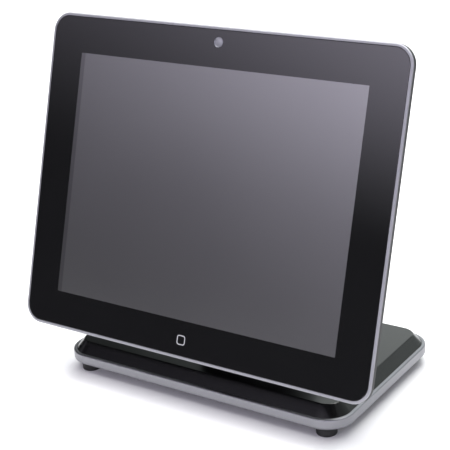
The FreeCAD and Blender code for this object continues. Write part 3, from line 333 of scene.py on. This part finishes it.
# Blank brushed-silver polyester label.
LABEL = Finish("silver_polyester_label", "#a6a7a9", "#b0b1b3", 0.4, Texture.BRUSHED, metallic=0.5,
               grain=0.5, relief=0.002, patch=14.0)
# Screen-printed marks, pale grey ink.
INK = Finish("pale_grey_ink", "#a8a8ab", "#b2b2b5", 0.5, Texture.SMOOTH, patch=5.0)
# The pale table that the terminal stands on.
TABLE = Finish("white_table", "#f2f2f2", "#f4f4f4", 0.9, Texture.SMOOTH, patch=900.0)

SLOT_FINISHES = {
    "black_glass": PRINTED_GLASS,
    "silver_metal": SILVER,
    "black_plastic": GRAINED_ABS,
    "satin_plastic": SATIN_ABS,
    "dark_metal": POWDER,
    "zinc_steel": ZINC,
    "bright_steel": STEEL,
    "black_screw": OXIDE,
    "rubber": RUBBER,
    "panel": EPOXY,
    "board": BOARD,
    "chip": EPOXY,
    "cooler": EXTRUDED,
    "socket_metal": NICKEL,
    "lens": CAMERA_WINDOW,
    "trim": ANODISED,
    "foam": FOAM_AND_GAP_SHADE,
    "clear_plastic": PIPE,
}


# ---------------------------------------------------------------- modelling helpers


class Part(Enum):
    """What a selection picks."""

    VERTEX = 0
    EDGE = 1
    FACE = 2


def only(piece: Object) -> None:
    """Leaves nothing but one object selected, and makes it active."""
    for other in bpy.context.selected_objects:
        other.select_set(False)
    piece.select_set(True)
    bpy.context.view_layer.objects.active = piece


def nothing() -> None:
    """Deselects every object."""
    for other in bpy.context.selected_objects:
        other.select_set(False)


def begin(piece: Object) -> None:
    """Opens a piece for editing."""
    only(piece)
    bpy.ops.object.mode_set(mode="EDIT")


def end() -> None:
    """Closes the piece that is being edited."""
    bpy.ops.object.mode_set(mode="OBJECT")


def pick(piece: Object, part: Part, test: Callable) -> None:
    """Selects, in edit mode, just the elements for which a test holds.

    Args:
        piece: The object being edited.
        part: Which kind of element the test takes.
        test: Takes a bmesh element and says whether to select it.
    """
    mesh = bmesh.from_edit_mesh(piece.data)
    bpy.context.tool_settings.mesh_select_mode = tuple(part.value == i for i in range(3))
    mesh.select_mode = {("VERT", "EDGE", "FACE")[part.value]}
    for element in [*mesh.verts, *mesh.edges, *mesh.faces]:
        element.select = False
    for element in (mesh.verts, mesh.edges, mesh.faces)[part.value]:
        if test(element):
            element.select = True
    mesh.select_flush_mode()
    bmesh.update_edit_mesh(piece.data)


def middle(element) -> Vector:
    """The middle of an edge or face."""
    return sum((v.co for v in element.verts), Vector()) / len(element.verts)


def along(axis: int) -> Callable:
    """A test for edges that run along one axis."""
    def test(edge) -> bool:
        """Says whether the edge runs along the axis."""
        step = (edge.verts[1].co - edge.verts[0].co).normalized()
        return abs(step[axis]) > 1 - EPSILON
    return test


def facing(axis: int, sign: int, level: Optional[float] = None) -> Callable:
    """A test for faces that look one way along an axis.

    Args:
        axis: X, Y or Z.
        sign: +1 or -1.
        level: The coordinate the face lies at, in metres, or None for any.

    Returns:
        The test.
    """
    def test(face) -> bool:
        """Says whether the face looks that way, at that level."""
        right_way = face.normal[axis] * sign > EXACTLY
        return right_way and (level is None or abs(middle(face)[axis] - level) < EPSILON)
    return test


def rim_of(axis: int, level: float) -> Callable:
    """A test for edges that lie flat in one plane across an axis."""
    def test(edge) -> bool:
        """Says whether both ends lie in the plane."""
        return all(abs(v.co[axis] - level) < EPSILON for v in edge.verts)
    return test


def block(name: str, low: Sequence[float], high: Sequence[float]) -> Object:
    """Adds a box between two corners given in millimetres, at the origin with its place in its mesh."""
    nothing()
    centre = [(a + b) / 2 * MM for a, b in zip(low, high)]
    size = [(b - a) * MM for a, b in zip(low, high)]
    bpy.ops.mesh.primitive_cube_add(size=1, location=centre)
    piece = bpy.context.active_object
    piece.scale = size
    piece.name = piece.data.name = name
    bpy.ops.object.transform_apply(location=True, rotation=True, scale=True)
    return piece


def disc(name: str, radius: float, low: float, high: float, centre: Sequence[float], axis: str,
         sides: int = 64) -> Object:
    """Adds a cylinder in millimetres.

    Args:
        name: The piece's name.
        radius: Its radius.
        low: Where it starts along its axis.
        high: Where it ends.
        centre: The other two coordinates, in X, Y, Z order.
        axis: The axis it lies along, x, y or z.
        sides: How many sides stand for the circle.

    Returns:
        The object, at the origin with its place in its mesh.
    """
    nothing()
    span = (low + high) / 2
    spot = {"x": (span, *centre), "y": (centre[0], span, centre[1]), "z": (*centre, span)}[axis]
    turn = {"x": (0, math.pi / 2, 0), "y": (math.pi / 2, 0, 0), "z": (0, 0, 0)}[axis]
    bpy.ops.mesh.primitive_cylinder_add(vertices=sides, radius=radius * MM, depth=(high - low) * MM,
                                        location=[c * MM for c in spot], rotation=turn)
    piece = bpy.context.active_object
    piece.name = piece.data.name = name
    bpy.ops.object.transform_apply(location=True, rotation=True, scale=True)
    return piece


def bevel(width: float, segments: int) -> None:
    """Rounds the selected edges by a width in millimetres."""
    bpy.ops.mesh.bevel(offset=width * MM, segments=segments, profile=0.5, affect="EDGES")


def insets(steps: Sequence[tuple[float, float]]) -> None:
    """Insets the selected faces step by step; each step has a width and a height in millimetres."""
    for width, height in steps:
        bpy.ops.mesh.inset(thickness=width * MM, depth=height * MM)


def rounded_plate(name: str, width: float, height: float, radius: float, depths: tuple[float, float],
                  centre: tuple[float, float], segments: int = 10) -> Object:
    """Adds an upright plate with four rounded corners; depths runs along Y, centre is X and Z."""
    piece = block(name, (centre[0] - width / 2, depths[0], centre[1] - height / 2),
                  (centre[0] + width / 2, depths[1], centre[1] + height / 2))
    begin(piece)
    pick(piece, Part.EDGE, along(Y))
    bevel(radius, segments)
    end()
    return piece


def soften(piece: Object, test: Callable, width: float, segments: int = 2) -> None:
    """Rounds the edges that pass a test."""
    begin(piece)
    pick(piece, Part.EDGE, test)
    bevel(width, segments)
    end()


def carve(piece: Object, cutter: Object) -> None:
    """Cuts one piece with another, and removes the cutter."""
    only(piece)
    cut = piece.modifiers.new("cut", "BOOLEAN")
    cut.operation = "DIFFERENCE"
    cut.solver = "EXACT"
    cut.object = cutter
    bpy.ops.object.modifier_apply(modifier=cut.name)
    bpy.data.objects.remove(cutter)


def score(piece: Object, point: Sequence[float], normal: Sequence[float]) -> None:
    """Adds edges where a plane crosses a piece; the point is in millimetres."""
    begin(piece)
    bpy.ops.mesh.select_all(action="SELECT")
    bpy.ops.mesh.bisect(plane_co=[c * MM for c in point], plane_no=normal)
    end()


def join(name: str, parts: Sequence[Object]) -> Object:
    """Joins several objects into one piece."""
    only(parts[0])
    for part in parts:
        part.select_set(True)
    bpy.ops.object.join()
    piece = bpy.context.active_object
    piece.name = piece.data.name = name
    return piece


def copy_of(piece: Object, name: str, shift: Sequence[float]) -> Object:
    """Copies a piece with its own mesh and moves the copy by millimetres."""
    twin = piece.copy()
    twin.data = piece.data.copy()
    twin.name = twin.data.name = name
    bpy.context.scene.collection.objects.link(twin)
    twin.data.transform(Matrix.Translation([s * MM for s in shift]))
    return twin


def number_faces(piece: Object, number: int, count: int) -> None:
    """Numbers a part's faces for one of several materials, so that joining it keeps the number."""
    for _ in range(count):
        piece.data.materials.append(None)
    for face in piece.data.polygons:
        face.material_index = number


def finish_piece(piece: Object, body: str, finishes: Sequence[Finish],
                 replaces: Sequence[str] = (), angle: float = 30.0) -> None:
    """Shades and dresses a finished piece, hides what it replaces and sets it on its body.

    Args:
        piece: The object, in place.
        body: The CAD body that carries it.
        finishes: Its materials, in the order its faces number them.
        replaces: The CAD nodes it stands for.
        angle: Edges flatter than this are shaded smooth, in degrees.
    """
    only(piece)
    bpy.ops.object.shade_smooth_by_angle(angle=math.radians(angle))
    numbers = [face.material_index for face in piece.data.polygons]
    piece.data.materials.clear()
    for finish in finishes:
        piece.data.materials.append(finish.build())
    for face, number in zip(piece.data.polygons, numbers):
        face.material_index = number
    if replaces:
        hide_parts(*replaces)
    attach(piece, body)
    log.info("%s rides on %s", piece.name, body)


# ---------------------------------------------------------------- head


@dataclass(frozen=True)
class HeadPlane:
    """Where the upright head is put: leaned back and lifted. Millimetres and degrees."""

    lean: float = 18.0
    front: float = -100.0
    lift: float = 52.0

    def place(self, piece: Object) -> None:
        """Leans a piece modelled upright back into place."""
        turn = Matrix.Rotation(math.radians(-self.lean), 4, "X")
        piece.data.transform(Matrix.Translation((0, self.front * MM, self.lift * MM)) @ turn)


@dataclass
class FrontGlass:
    """The silver-lipped frame, the flush black glass in it, and a dark ring between them that paints
    the gap's shadow line. Millimetres.
    """

    plane: HeadPlane
    width: float = 378.0
    height: float = 300.0
    corner: float = 18.0
    least_corner: float = 1.0
    lip: float = 2.7
    lip_round: float = 1.4
    lip_angle: float = 25.0
    lacquer_end: float = 1.0
    skin: float = 1.0
    frame_depth: float = 5.0
    frame_ledge: float = 11.0
    ledge_front: float = 3.0
    gap: float = 0.3
    depth: float = 2.0
    glass_round: float = 0.35
    glass_angle: float = 12.0
    # Front and back of the dark ring that paints the gap's shadow line, in millimetres.
    bead: tuple[float, float] = (0.7, 1.7)
    active_width: float = 304.1
    active_height: float = 228.1
    active_low: float = 35.4
    edge_strip: float = 4.6
    camera_height: float = 286.0
    camera_hole: float = 4.8

    def build(self) -> None:
        """Models and dresses the frame, the glass and the dark ring of painted shade in the gap."""
        self.frame()
        self.glass()
        self.paint_gap_shade()

    def outline(self, name: str, inset: float, depths: tuple[float, float]) -> Object:
        """Adds a plate with the head's outline.

        Args:
            name: The plate's name.
            inset: How far its edge is moved in.
            depths: Where it starts and ends, front to back.

        Returns:
            The plate, upright.
        """
        return rounded_plate(name, self.width - 2 * inset, self.height - 2 * inset,
                             max(self.corner - inset, self.least_corner), depths,
                             (0.0, self.height / 2), segments=14)

    def on_side(self, spot: Vector) -> bool:
        """Says whether a spot, in millimetres, lies at the head's outline."""
        across = abs(spot.x) - self.width / 2
        upward = abs(spot.z - self.height / 2) - self.height / 2
        reach = math.hypot(across + self.corner, upward + self.corner)
        at_corner = across > -self.corner and reach > self.corner - self.skin
        return max(across, upward) > -self.skin or at_corner

    def frame(self) -> None:
        """Models the frame: a lacquered silver lip that turns into a bare black side."""
        ring = self.outline("head_frame", 0.0, (0.0, self.frame_depth))
        soften(ring, rim_of(Y, 0.0), self.lip_round, segments=6)
        carve(ring, self.outline("pocket", self.lip, (-CLEAR, self.ledge_front)))
        carve(ring, self.outline("opening", self.frame_ledge, (-CLEAR, self.frame_depth + CLEAR)))
        for face in ring.data.polygons:
            spot = face.center / MM
            if face.normal.y > MOSTLY or (self.on_side(spot) and spot.y > self.lacquer_end):
                face.material_index = 1
        self.plane.place(ring)
        # The lip wears a paler copy of the silver lacquer, a painted highlight; the side wears the
        # charcoal.
        finish_piece(ring, "head", [LIP_SILVER_PAINTED_HIGHLIGHT, GRAINED_ABS], ["bezel_frame"],
                     self.lip_angle)

    def glass(self) -> None:
        """Models the glass plate and divides its front into border, display and masked strip."""
        plate = self.outline("cover_glass", self.lip + self.gap, (0.0, self.depth))
        soften(plate, rim_of(Y, 0.0), self.glass_round, segments=3)
        carve(plate, disc("camera_cut", self.camera_hole, -CLEAR, self.depth + CLEAR,
                          (0.0, self.camera_height), "y"))
        half = self.active_width / 2
        high = self.active_low + self.active_height
        for x in (-half, -half + self.edge_strip, half):
            score(plate, (x, 0, 0), (1, 0, 0))
        for z in (self.active_low, high):
            score(plate, (0, 0, z), (0, 0, 1))
        for face in plate.data.polygons:
            spot = face.center / MM
            inside = abs(spot.x) < half and self.active_low < spot.z < high
            if face.normal.y < -MOSTLY and inside:
                face.material_index = 2 if spot.x < -half + self.edge_strip else 1
        self.plane.place(plate)
        finish_piece(plate, "head", [PRINTED_GLASS, DISPLAY_GLASS, DISPLAY_EDGE],
                     ["touch_glass"], self.glass_angle)

    def paint_gap_shade(self) -> None:
        """Models the dark bead between glass and frame, a black ring that paints the shadow line of the
        gap.
        """
        # A black ring filling the gap in front: painted shade, where the gap's shadow line falls.
        bead = self.outline("gap_shade_bead", self.lip, self.bead)
        carve(bead, self.outline("bead_cut", self.lip + self.gap, (-CLEAR, self.depth + CLEAR)))
        self.plane.place(bead)
        finish_piece(bead, "head", [FOAM_AND_GAP_SHADE])


@dataclass
class CameraTrim:
    """The camera's stepped trim ring with its domed window. Millimetres."""

    plane: HeadPlane
    height: float
    radius: float = 4.72
    front: float = 0.05
    back: float = 2.0
    steps: tuple[tuple[float, float], ...] = ((0.6, 0.0), (0.2, -0.2), (2.1, 0.12))
    window: float = 4.0
    edge: float = 0.12

    def build(self) -> None:
        """Models the ring and the window as one piece of two materials."""
        trim = disc("camera_trim", self.radius, self.front, self.back, (0.0, self.height), "y",
                    sides=72)
        begin(trim)
        pick(trim, Part.FACE, facing(Y, -1))
        insets(self.steps)
        end()
        for face in trim.data.polygons:
            spot = face.center / MM
            if face.normal.y < -RATHER and math.hypot(spot.x, spot.z - self.height) < self.window:
                face.material_index = 1
        soften(trim, rim_of(Y, self.front * MM), self.edge, segments=2)
        self.plane.place(trim)
        finish_piece(trim, "head", [ANODISED, CAMERA_WINDOW], ["camera_ring", "camera_window"])


@dataclass
class HomeMark:
    """A plain rounded square under the display, the common sign for a home key. Millimetres."""

    plane: HeadPlane
    size: float = 9.0
    line: float = 0.9
    corner: float = 2.4
    ink: float = 0.02
    centre: tuple[float, float] = (-4.0, 17.5)

    def build(self) -> None:
        """Prints the mark."""
        inner = self.size - 2 * self.line
        square = rounded_plate("home_mark", self.size, self.size, self.corner, (-self.ink, self.ink),
                               self.centre, segments=6)
        carve(square, rounded_plate("mark_cut", inner, inner, self.corner - self.line, (-CLEAR, CLEAR),
                                    self.centre, segments=6))
        self.plane.place(square)
        finish_piece(square, "head", [INK])


@dataclass(frozen=True)
class SocketBay:
    """Where the sockets sit in the upright head: the height of their mouths and the board's back."""

    mouth: float = 66.0
    board: float = 23.6


@dataclass
class SpringContacts:
    """Sloping spring contacts in one kind of modular socket. Millimetres."""

    plane: HeadPlane
    bay: SocketBay
    name: str
    centres: tuple[float, ...]
    depth: float
    count: int = 8
    pitch: float = 1.02
    root: float = 2.8
    half: float = 0.2
    low: float = 2.5
    high: float = 11.0
    slope: float = 2.4
    edge: float = 0.12

    def build(self) -> None:
        """Models one contact and copies it along each socket."""
        depth = self.bay.board + self.depth + self.root
        low, high = self.bay.mouth + self.low, self.bay.mouth + self.high
        first = self.centres[0] - (self.count - 1) / 2 * self.pitch
        wire = block(self.name, (first - self.half, depth - self.half, low),
                     (first + self.half, depth + self.half, high))
        begin(wire)
        pick(wire, Part.VERTEX, lambda v: v.co.z > (low + high) / 2 * MM)
        bpy.ops.transform.translate(value=(0, -self.slope * MM, 0))
        pick(wire, Part.EDGE, along(X))
        bevel(self.edge, segments=2)
        end()
        parts = [wire]
        for centre in self.centres:
            for i in range(self.count):
                shift = centre - self.centres[0] + i * self.pitch
                if shift:
                    parts.append(copy_of(wire, f"{self.name}_{len(parts)}", (shift, 0, 0)))
        piece = join(self.name, parts)
        self.plane.place(piece)
        finish_piece(piece, "head", [GOLD])


@dataclass
class SocketTongues:
    """The blue tongues of the data sockets, each with four flat contacts. Millimetres."""

    plane: HeadPlane
    bay: SocketBay
    centres: tuple[float, ...] = (-22.0, -7.5, 7.0, 21.5)
    depth: float = 3.2
    half_width: float = 5.3
    half_depth: float = 0.9
    low: float = 0.8
    high: float = 11.5
    edge: float = 0.35
    strips: tuple[float, ...] = (-3.4, -1.2, 1.2, 3.4)
    strip_half: float = 0.45
    strip_low: float = 2.0
    strip_high: float = 9.5
    strip_sink: float = 0.02
    strip_rise: float = 0.08
    strip_edge: float = 0.03

    def build(self) -> None:
        """Models every tongue with its contacts as one piece of two materials."""
        parts = [part for centre in self.centres for part in self.tongue(centre)]
        piece = join("data_socket_tongues", parts)
        self.plane.place(piece)
        finish_piece(piece, "head", [TONGUE, GOLD])

    def tongue(self, x: float) -> list[Object]:
        """Models the tongue at one socket and the contacts on it."""
        centre = self.bay.board + self.depth
        face = centre + self.half_depth
        mouth = self.bay.mouth
        tongue = block("tongue", (x - self.half_width, centre - self.half_depth, mouth + self.low),
                       (x + self.half_width, face, mouth + self.high))
        soften(tongue, rim_of(Z, (mouth + self.low) * MM), self.edge, segments=2)
        number_faces(tongue, number=0, count=2)
        parts = [tongue]
        for shift in self.strips:
            left, right = x + shift - self.strip_half, x + shift + self.strip_half
            strip = block("strip", (left, face - self.strip_sink, mouth + self.strip_low),
                          (right, face + self.strip_rise, mouth + self.strip_high))
            soften(strip, along(X), self.strip_edge, segments=1)
            number_faces(strip, number=1, count=2)
            parts.append(strip)
        return parts


@dataclass
class BlankLabel:
    """A blank rating label with a printed border, beside the mounting plate. Millimetres."""

    plane: HeadPlane
    back: float
    centre: tuple[float, float] = (82.0, 138.0)
    width: float = 46.0
    height: float = 30.0
    corner: float = 2.5
    thickness: float = 0.15
    margin: float = 1.4
    line: float = 0.5

    def build(self) -> None:
        """Sticks the label on the cover's back."""
        plate = rounded_plate("blank_label", self.width, self.height, self.corner,
                              (self.back, self.back + self.thickness), self.centre, segments=5)
        begin(plate)
        pick(plate, Part.FACE, facing(Y, 1))
        insets(((self.margin, 0.0), (self.line, 0.0)))
        end()
        printed = [face for face in plate.data.polygons if face.normal.y > MOSTLY]
        widest = max(printed, key=lambda face: face.area)
        for face in printed:
            spot = face.center / MM
            gap = min(self.width / 2 - abs(spot.x - self.centre[0]),
                      self.height / 2 - abs(spot.z - self.centre[1]))
            if face is not widest and self.margin < gap < self.margin + self.line:
                face.material_index = 1
        self.plane.place(plate)
        finish_piece(plate, "head", [LABEL, EPOXY])


@dataclass
class StandbySign:
    """The standard on-standby sign on the power button: an open ring and a bar. Millimetres."""

    plane: HeadPlane
    back: float
    centre: tuple[float, float] = (98.0, 92.0)
    rise: float = 0.78
    radius: float = 2.2
    line: float = 0.24
    opening: float = 1.55
    bar_half: float = 0.26
    bar_low: float = 0.5
    bar_high: float = 3.2
    edge: float = 0.12

    def build(self) -> None:
        """Prints the sign on the button."""
        x, z = self.centre
        depth = self.back + self.rise
        nothing()
        bpy.ops.mesh.primitive_torus_add(location=(x * MM, depth * MM, z * MM),
                                         rotation=(math.pi / 2, 0, 0), major_radius=self.radius * MM,
                                         minor_radius=self.line * MM, major_segments=48,
                                         minor_segments=8)
        ring = bpy.context.active_object
        bpy.ops.object.transform_apply(location=True, rotation=True, scale=True)
        begin(ring)
        pick(ring, Part.FACE, lambda f: f.calc_center_median().z > (z + self.opening) * MM)
        bpy.ops.mesh.delete(type="FACE")
        pick(ring, Part.EDGE, lambda e: len(e.link_faces) == 1)
        bpy.ops.mesh.edge_face_add()
        end()
        bar = block("bar", (x - self.bar_half, depth - self.line, z + self.bar_low),
                    (x + self.bar_half, depth + self.line, z + self.bar_high))
        soften(bar, lambda e: True, self.edge, segments=2)
        piece = join("standby_sign", [ring, bar])
        self.plane.place(piece)
        finish_piece(piece, "power_button", [INK])


@dataclass
class BackDetails:
    """Contacts in the sockets, the blank label and the sign on the power button."""

    plane: HeadPlane
    back: float = 42.0

    def build(self) -> None:
        """Models every small piece on the back."""
        bay = SocketBay()
        SpringContacts(self.plane, bay, "network_contacts", centres=(-53.0,), depth=6.7).build()
        SpringContacts(self.plane, bay, "serial_contacts", centres=(52.0, 69.0), depth=6.25).build()
        SocketTongues(self.plane, bay).build()
        BlankLabel(self.plane, self.back).build()
        StandbySign(self.plane, self.back).build()


# ---------------------------------------------------------------- base


@dataclass
class RubberFeet:
    """Four moulded rubber feet, each with a grooved side and a recessed sole. Millimetres."""

    nodes: tuple[str, ...] = (
        "foot_front_left", "foot_front_right", "foot_back_left", "foot_back_right",
    )
    radius: float = 9.5
    height: float = 12.0
    groove: tuple[float, float] = (4.0, 6.5)
    groove_depth: float = 0.5
    sole: tuple[tuple[float, float], ...] = ((1.6, 0.0), (0.4, -0.7), (2.2, 0.0), (0.3, 0.5))
    edge: float = 0.9

    def build(self) -> None:
        """Models one foot and copies it to the other corners."""
        names = ["rubber_" + node for node in self.nodes]
        first = self.spot(self.nodes[0])
        feet = [self.model(names[0], first.x, first.y)]
        for name, node in zip(names[1:], self.nodes[1:]):
            step = self.spot(node) - first
            feet.append(copy_of(feet[0], name, (step.x, step.y, 0)))
        for piece, node in zip(feet, self.nodes):
            finish_piece(piece, "stand", [RUBBER], [node])

    @staticmethod
    def spot(node: str) -> Vector:
        """Gives the middle of a CAD node's box."""
        low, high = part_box(node)
        return (low + high) / 2 / MM

    def model(self, name: str, x: float, y: float) -> Object:
        """Models one foot.

        Args:
            name: The piece's name.
            x: Its middle across, in millimetres.
            y: Its middle front to back.

        Returns:
            The foot.
        """
        foot = disc(name, self.radius, 0.0, self.height, (x, y), "z", sides=56)
        low, high = (level * MM for level in self.groove)
        waist = 1 - self.groove_depth / self.radius
        begin(foot)
        pick(foot, Part.EDGE, along(Z))
        bpy.ops.mesh.subdivide(number_cuts=6)
        pick(foot, Part.VERTEX, lambda v: low < v.co.z < high)
        bpy.ops.transform.resize(value=(waist, waist, 1), center_override=(x * MM, y * MM, low))
        pick(foot, Part.FACE, facing(Z, -1, 0.0))
        insets(self.sole)
        end()
        soften(foot, self.outer_edge(x, y), self.edge, segments=3)
        return foot

    def outer_edge(self, x: float, y: float) -> Callable:
        """A test for edges on the outer rim of the sole or the top."""
        def test(edge) -> bool:
            """Says whether the edge lies on either rim."""
            flat = rim_of(Z, 0.0)(edge) or rim_of(Z, self.height * MM)(edge)
            reaches = [math.hypot(v.co.x - x * MM, v.co.y - y * MM) for v in edge.verts]
            return flat and min(reaches) > self.radius * MM - EPSILON
        return test


# ---------------------------------------------------------------- carried-over parts


@dataclass
class CarriedParts:
    """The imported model's own parts, each dressed in the finish of its slot."""

    frame: dict

    def dress(self) -> None:
        """Gives every CAD node its finish."""
        slots = {entry["node"]: entry["material_slot"] for entry in self.frame["record"]["subparts"]}
        for name, node in self.frame["nodes"].items():
            material = SLOT_FINISHES[slots[name]].build()
            if not node.data.materials:
                node.data.materials.append(material)
            for index in range(len(node.data.materials)):
                node.data.materials[index] = material
            log.info("%s wears %s", name, material.name)


# ---------------------------------------------------------------- studio


@dataclass(frozen=True)
class SoftBox:
    """One rectangular studio light. Metres and watts."""

    name: str
    size: tuple[float, float]
    power: float
    spot: tuple[float, float, float]
    target: tuple[float, float, float]
    colour: str = "#ffffff"

    def build(self) -> None:
        """Adds the light, turned to its target."""
        data = bpy.data.lights.new(self.name, "AREA")
        data.shape = "RECTANGLE"
        data.size, data.size_y = self.size
        data.energy = self.power
        data.color = linear(self.colour)[:3]
        light = bpy.data.objects.new(self.name, data)
        light.location = self.spot
        aim = Vector(self.target) - Vector(self.spot)
        light.rotation_euler = aim.to_track_quat("-Z", "Y").to_euler()
        bpy.context.scene.collection.objects.link(light)


LIGHTS = (
    SoftBox("overhead", (3.0, 3.0), 150.0, (-0.15, 0.15, 2.6), (0.0, 0.0, 0.0)),
    SoftBox("behind", (2.2, 1.6), 5.0, (-0.8, 3.2, 1.6), (0.0, 0.0, 0.1)),
    SoftBox("right_side", (1.2, 1.6), 1.5, (2.3, -0.3, 1.1), (0.0, 0.0, 0.1)),
)


@dataclass(frozen=True)
class Ramp:
    """A smooth change of a value, from low to high, along one direction of the room."""

    axis: str
    start: float
    stop: float
    low: float
    high: float

    def build(self, tree: Tree, parts: Node) -> Socket:
        """Adds the change to the room's nodes; parts is the node that splits the direction."""
        span = {"From Min": self.start, "From Max": self.stop, "To Min": self.low, "To Max": self.high}
        return add_node(tree, "ShaderNodeMapRange", span, {"Value": parts.outputs[self.axis]},
                        interpolation_type="SMOOTHSTEP").outputs["Result"]


@dataclass(frozen=True)
class Room:
    """The world: a bright wall behind, dim low in front, and a glow high in front towards the right.

    The ramps of the wall and of the glow are multiplied, and the greater of the tint's ramps counts.
    """

    wall: tuple[Ramp, ...] = (
        Ramp("Y", -0.35, 0.7, 0.03, 0.85),
        Ramp("X", -0.58, -0.41, 0.05, 1.0),
        Ramp("X", 0.0, 0.55, 1.0, 0.55),
    )
    glow: tuple[Ramp, ...] = (
        Ramp("Z", 0.16, 0.37, 0.0, 1.0),
        Ramp("X", -0.75, -0.3, 1.15, 5.6),
        Ramp("Y", -0.9, 0.2, 1.0, 0.1),
        Ramp("Z", 0.34, 0.46, 1.0, 0.1),
    )
    tint: tuple[Ramp, ...] = (Ramp("Y", -0.4, 0.4, 0.0, 1.0), Ramp("Z", 0.05, 0.28, 1.0, 0.0))
    violet: str = "#f1ebff"
    teal: str = "#f0faf8"
    backdrop: str = "#ffffff"
    backdrop_level: float = 1.2

    def build(self) -> None:
        """Makes the world; the camera itself sees a plain white backdrop."""
        world = bpy.data.worlds.new("studio_room")
        bpy.context.scene.world = world
        world.use_nodes = True
        tree = world.node_tree
        tree.nodes.clear()
        way = add_node(tree, "ShaderNodeTexCoord").outputs["Generated"]
        parts = add_node(tree, "ShaderNodeSeparateXYZ", links={"Vector": way})
        wall = combine(tree, "MULTIPLY", [ramp.build(tree, parts) for ramp in self.wall])
        glow = combine(tree, "MULTIPLY", [ramp.build(tree, parts) for ramp in self.glow])
        level = combine(tree, "ADD", [glow, wall])
        cool = combine(tree, "MAXIMUM", [ramp.build(tree, parts) for ramp in self.tint])
        hue = add_node(tree, "ShaderNodeMix", {6: linear(self.violet), 7: linear(self.teal)}, {0: cool},
                       data_type="RGBA")
        seen = add_node(tree, "ShaderNodeLightPath").outputs["Is Camera Ray"]
        shown = add_node(tree, "ShaderNodeMix", {3: self.backdrop_level}, {0: seen, 2: level},
                         data_type="FLOAT")
        colour = add_node(tree, "ShaderNodeMix", {7: linear(self.backdrop)},
                          {0: seen, 6: hue.outputs[2]}, data_type="RGBA")
        back = add_node(tree, "ShaderNodeBackground",
                        links={"Color": colour.outputs[2], "Strength": shown.outputs[0]})
        add_node(tree, "ShaderNodeOutputWorld", links={"Surface": back.outputs["Background"]})


@dataclass
class Studio:
    """Pale table, room, soft lights, and the camera. Metres, millimetres of lens and degrees."""

    lens: float = 103.97
    sensor: float = 36.0
    sight: float = 100.0
    eye: tuple[float, float, float] = (0.6377, -0.9308, 0.5960)
    yaw: float = 34.98
    pitch: float = -21.67
    roll: float = -3.64
    floor_low: tuple[float, float] = (-1.5, -0.8)
    floor_high: tuple[float, float] = (1.5, 1.5)

    def build(self) -> None:
        """Builds floor, room, lights and camera."""
        self.floor()
        Room().build()
        for light in LIGHTS:
            light.build()
        self.camera()

    def floor(self) -> None:
        """Adds the table; it ends before it can mirror in the glass, and before it turns grey."""
        nothing()
        bpy.ops.mesh.primitive_plane_add(size=1)
        plane = bpy.context.active_object
        plane.location = [(a + b) / 2 for a, b in zip(self.floor_low, self.floor_high)] + [0.0]
        plane.scale = [b - a for a, b in zip(self.floor_low, self.floor_high)] + [1.0]
        bpy.ops.object.transform_apply(location=True, rotation=True, scale=True)
        plane.name = "floor"
        plane.data.materials.append(TABLE.build())

    def camera(self) -> None:
        """Adds the camera from its place and its three angles."""
        yaw, pitch, roll = (math.radians(a) for a in (self.yaw, self.pitch, self.roll))
        forward = Vector((-math.sin(yaw) * math.cos(pitch), math.cos(yaw) * math.cos(pitch),
                          math.sin(pitch)))
        right = Vector((math.cos(yaw), math.sin(yaw), 0.0))
        up = right.cross(forward)
        across = right * math.cos(roll) + up * math.sin(roll)
        upward = up * math.cos(roll) - right * math.sin(roll)
        data = bpy.data.cameras.new("camera")
        data.lens = self.lens
        data.sensor_width = self.sensor
        data.clip_end = self.sight
        camera = bpy.data.objects.new("camera", data)
        turn = Matrix((across, upward, -forward)).transposed().to_4x4()
        camera.matrix_world = Matrix.Translation(self.eye) @ turn
        bpy.context.scene.collection.objects.link(camera)
        bpy.context.scene.camera = camera


def main() -> None:
    """Builds the pieces in order, then the studio."""
    logging.basicConfig(level=logging.INFO, format="%(name)s: %(message)s")
    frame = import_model()
    bpy.context.scene.view_settings.view_transform = "Standard"
    CarriedParts(frame).dress()
    plane = HeadPlane()
    front = FrontGlass(plane)
    front.build()
    CameraTrim(plane, front.camera_height).build()
    HomeMark(plane).build()
    BackDetails(plane).build()
    RubberFeet().build()
    Studio().build()


if __name__ == "__main__":
    main()
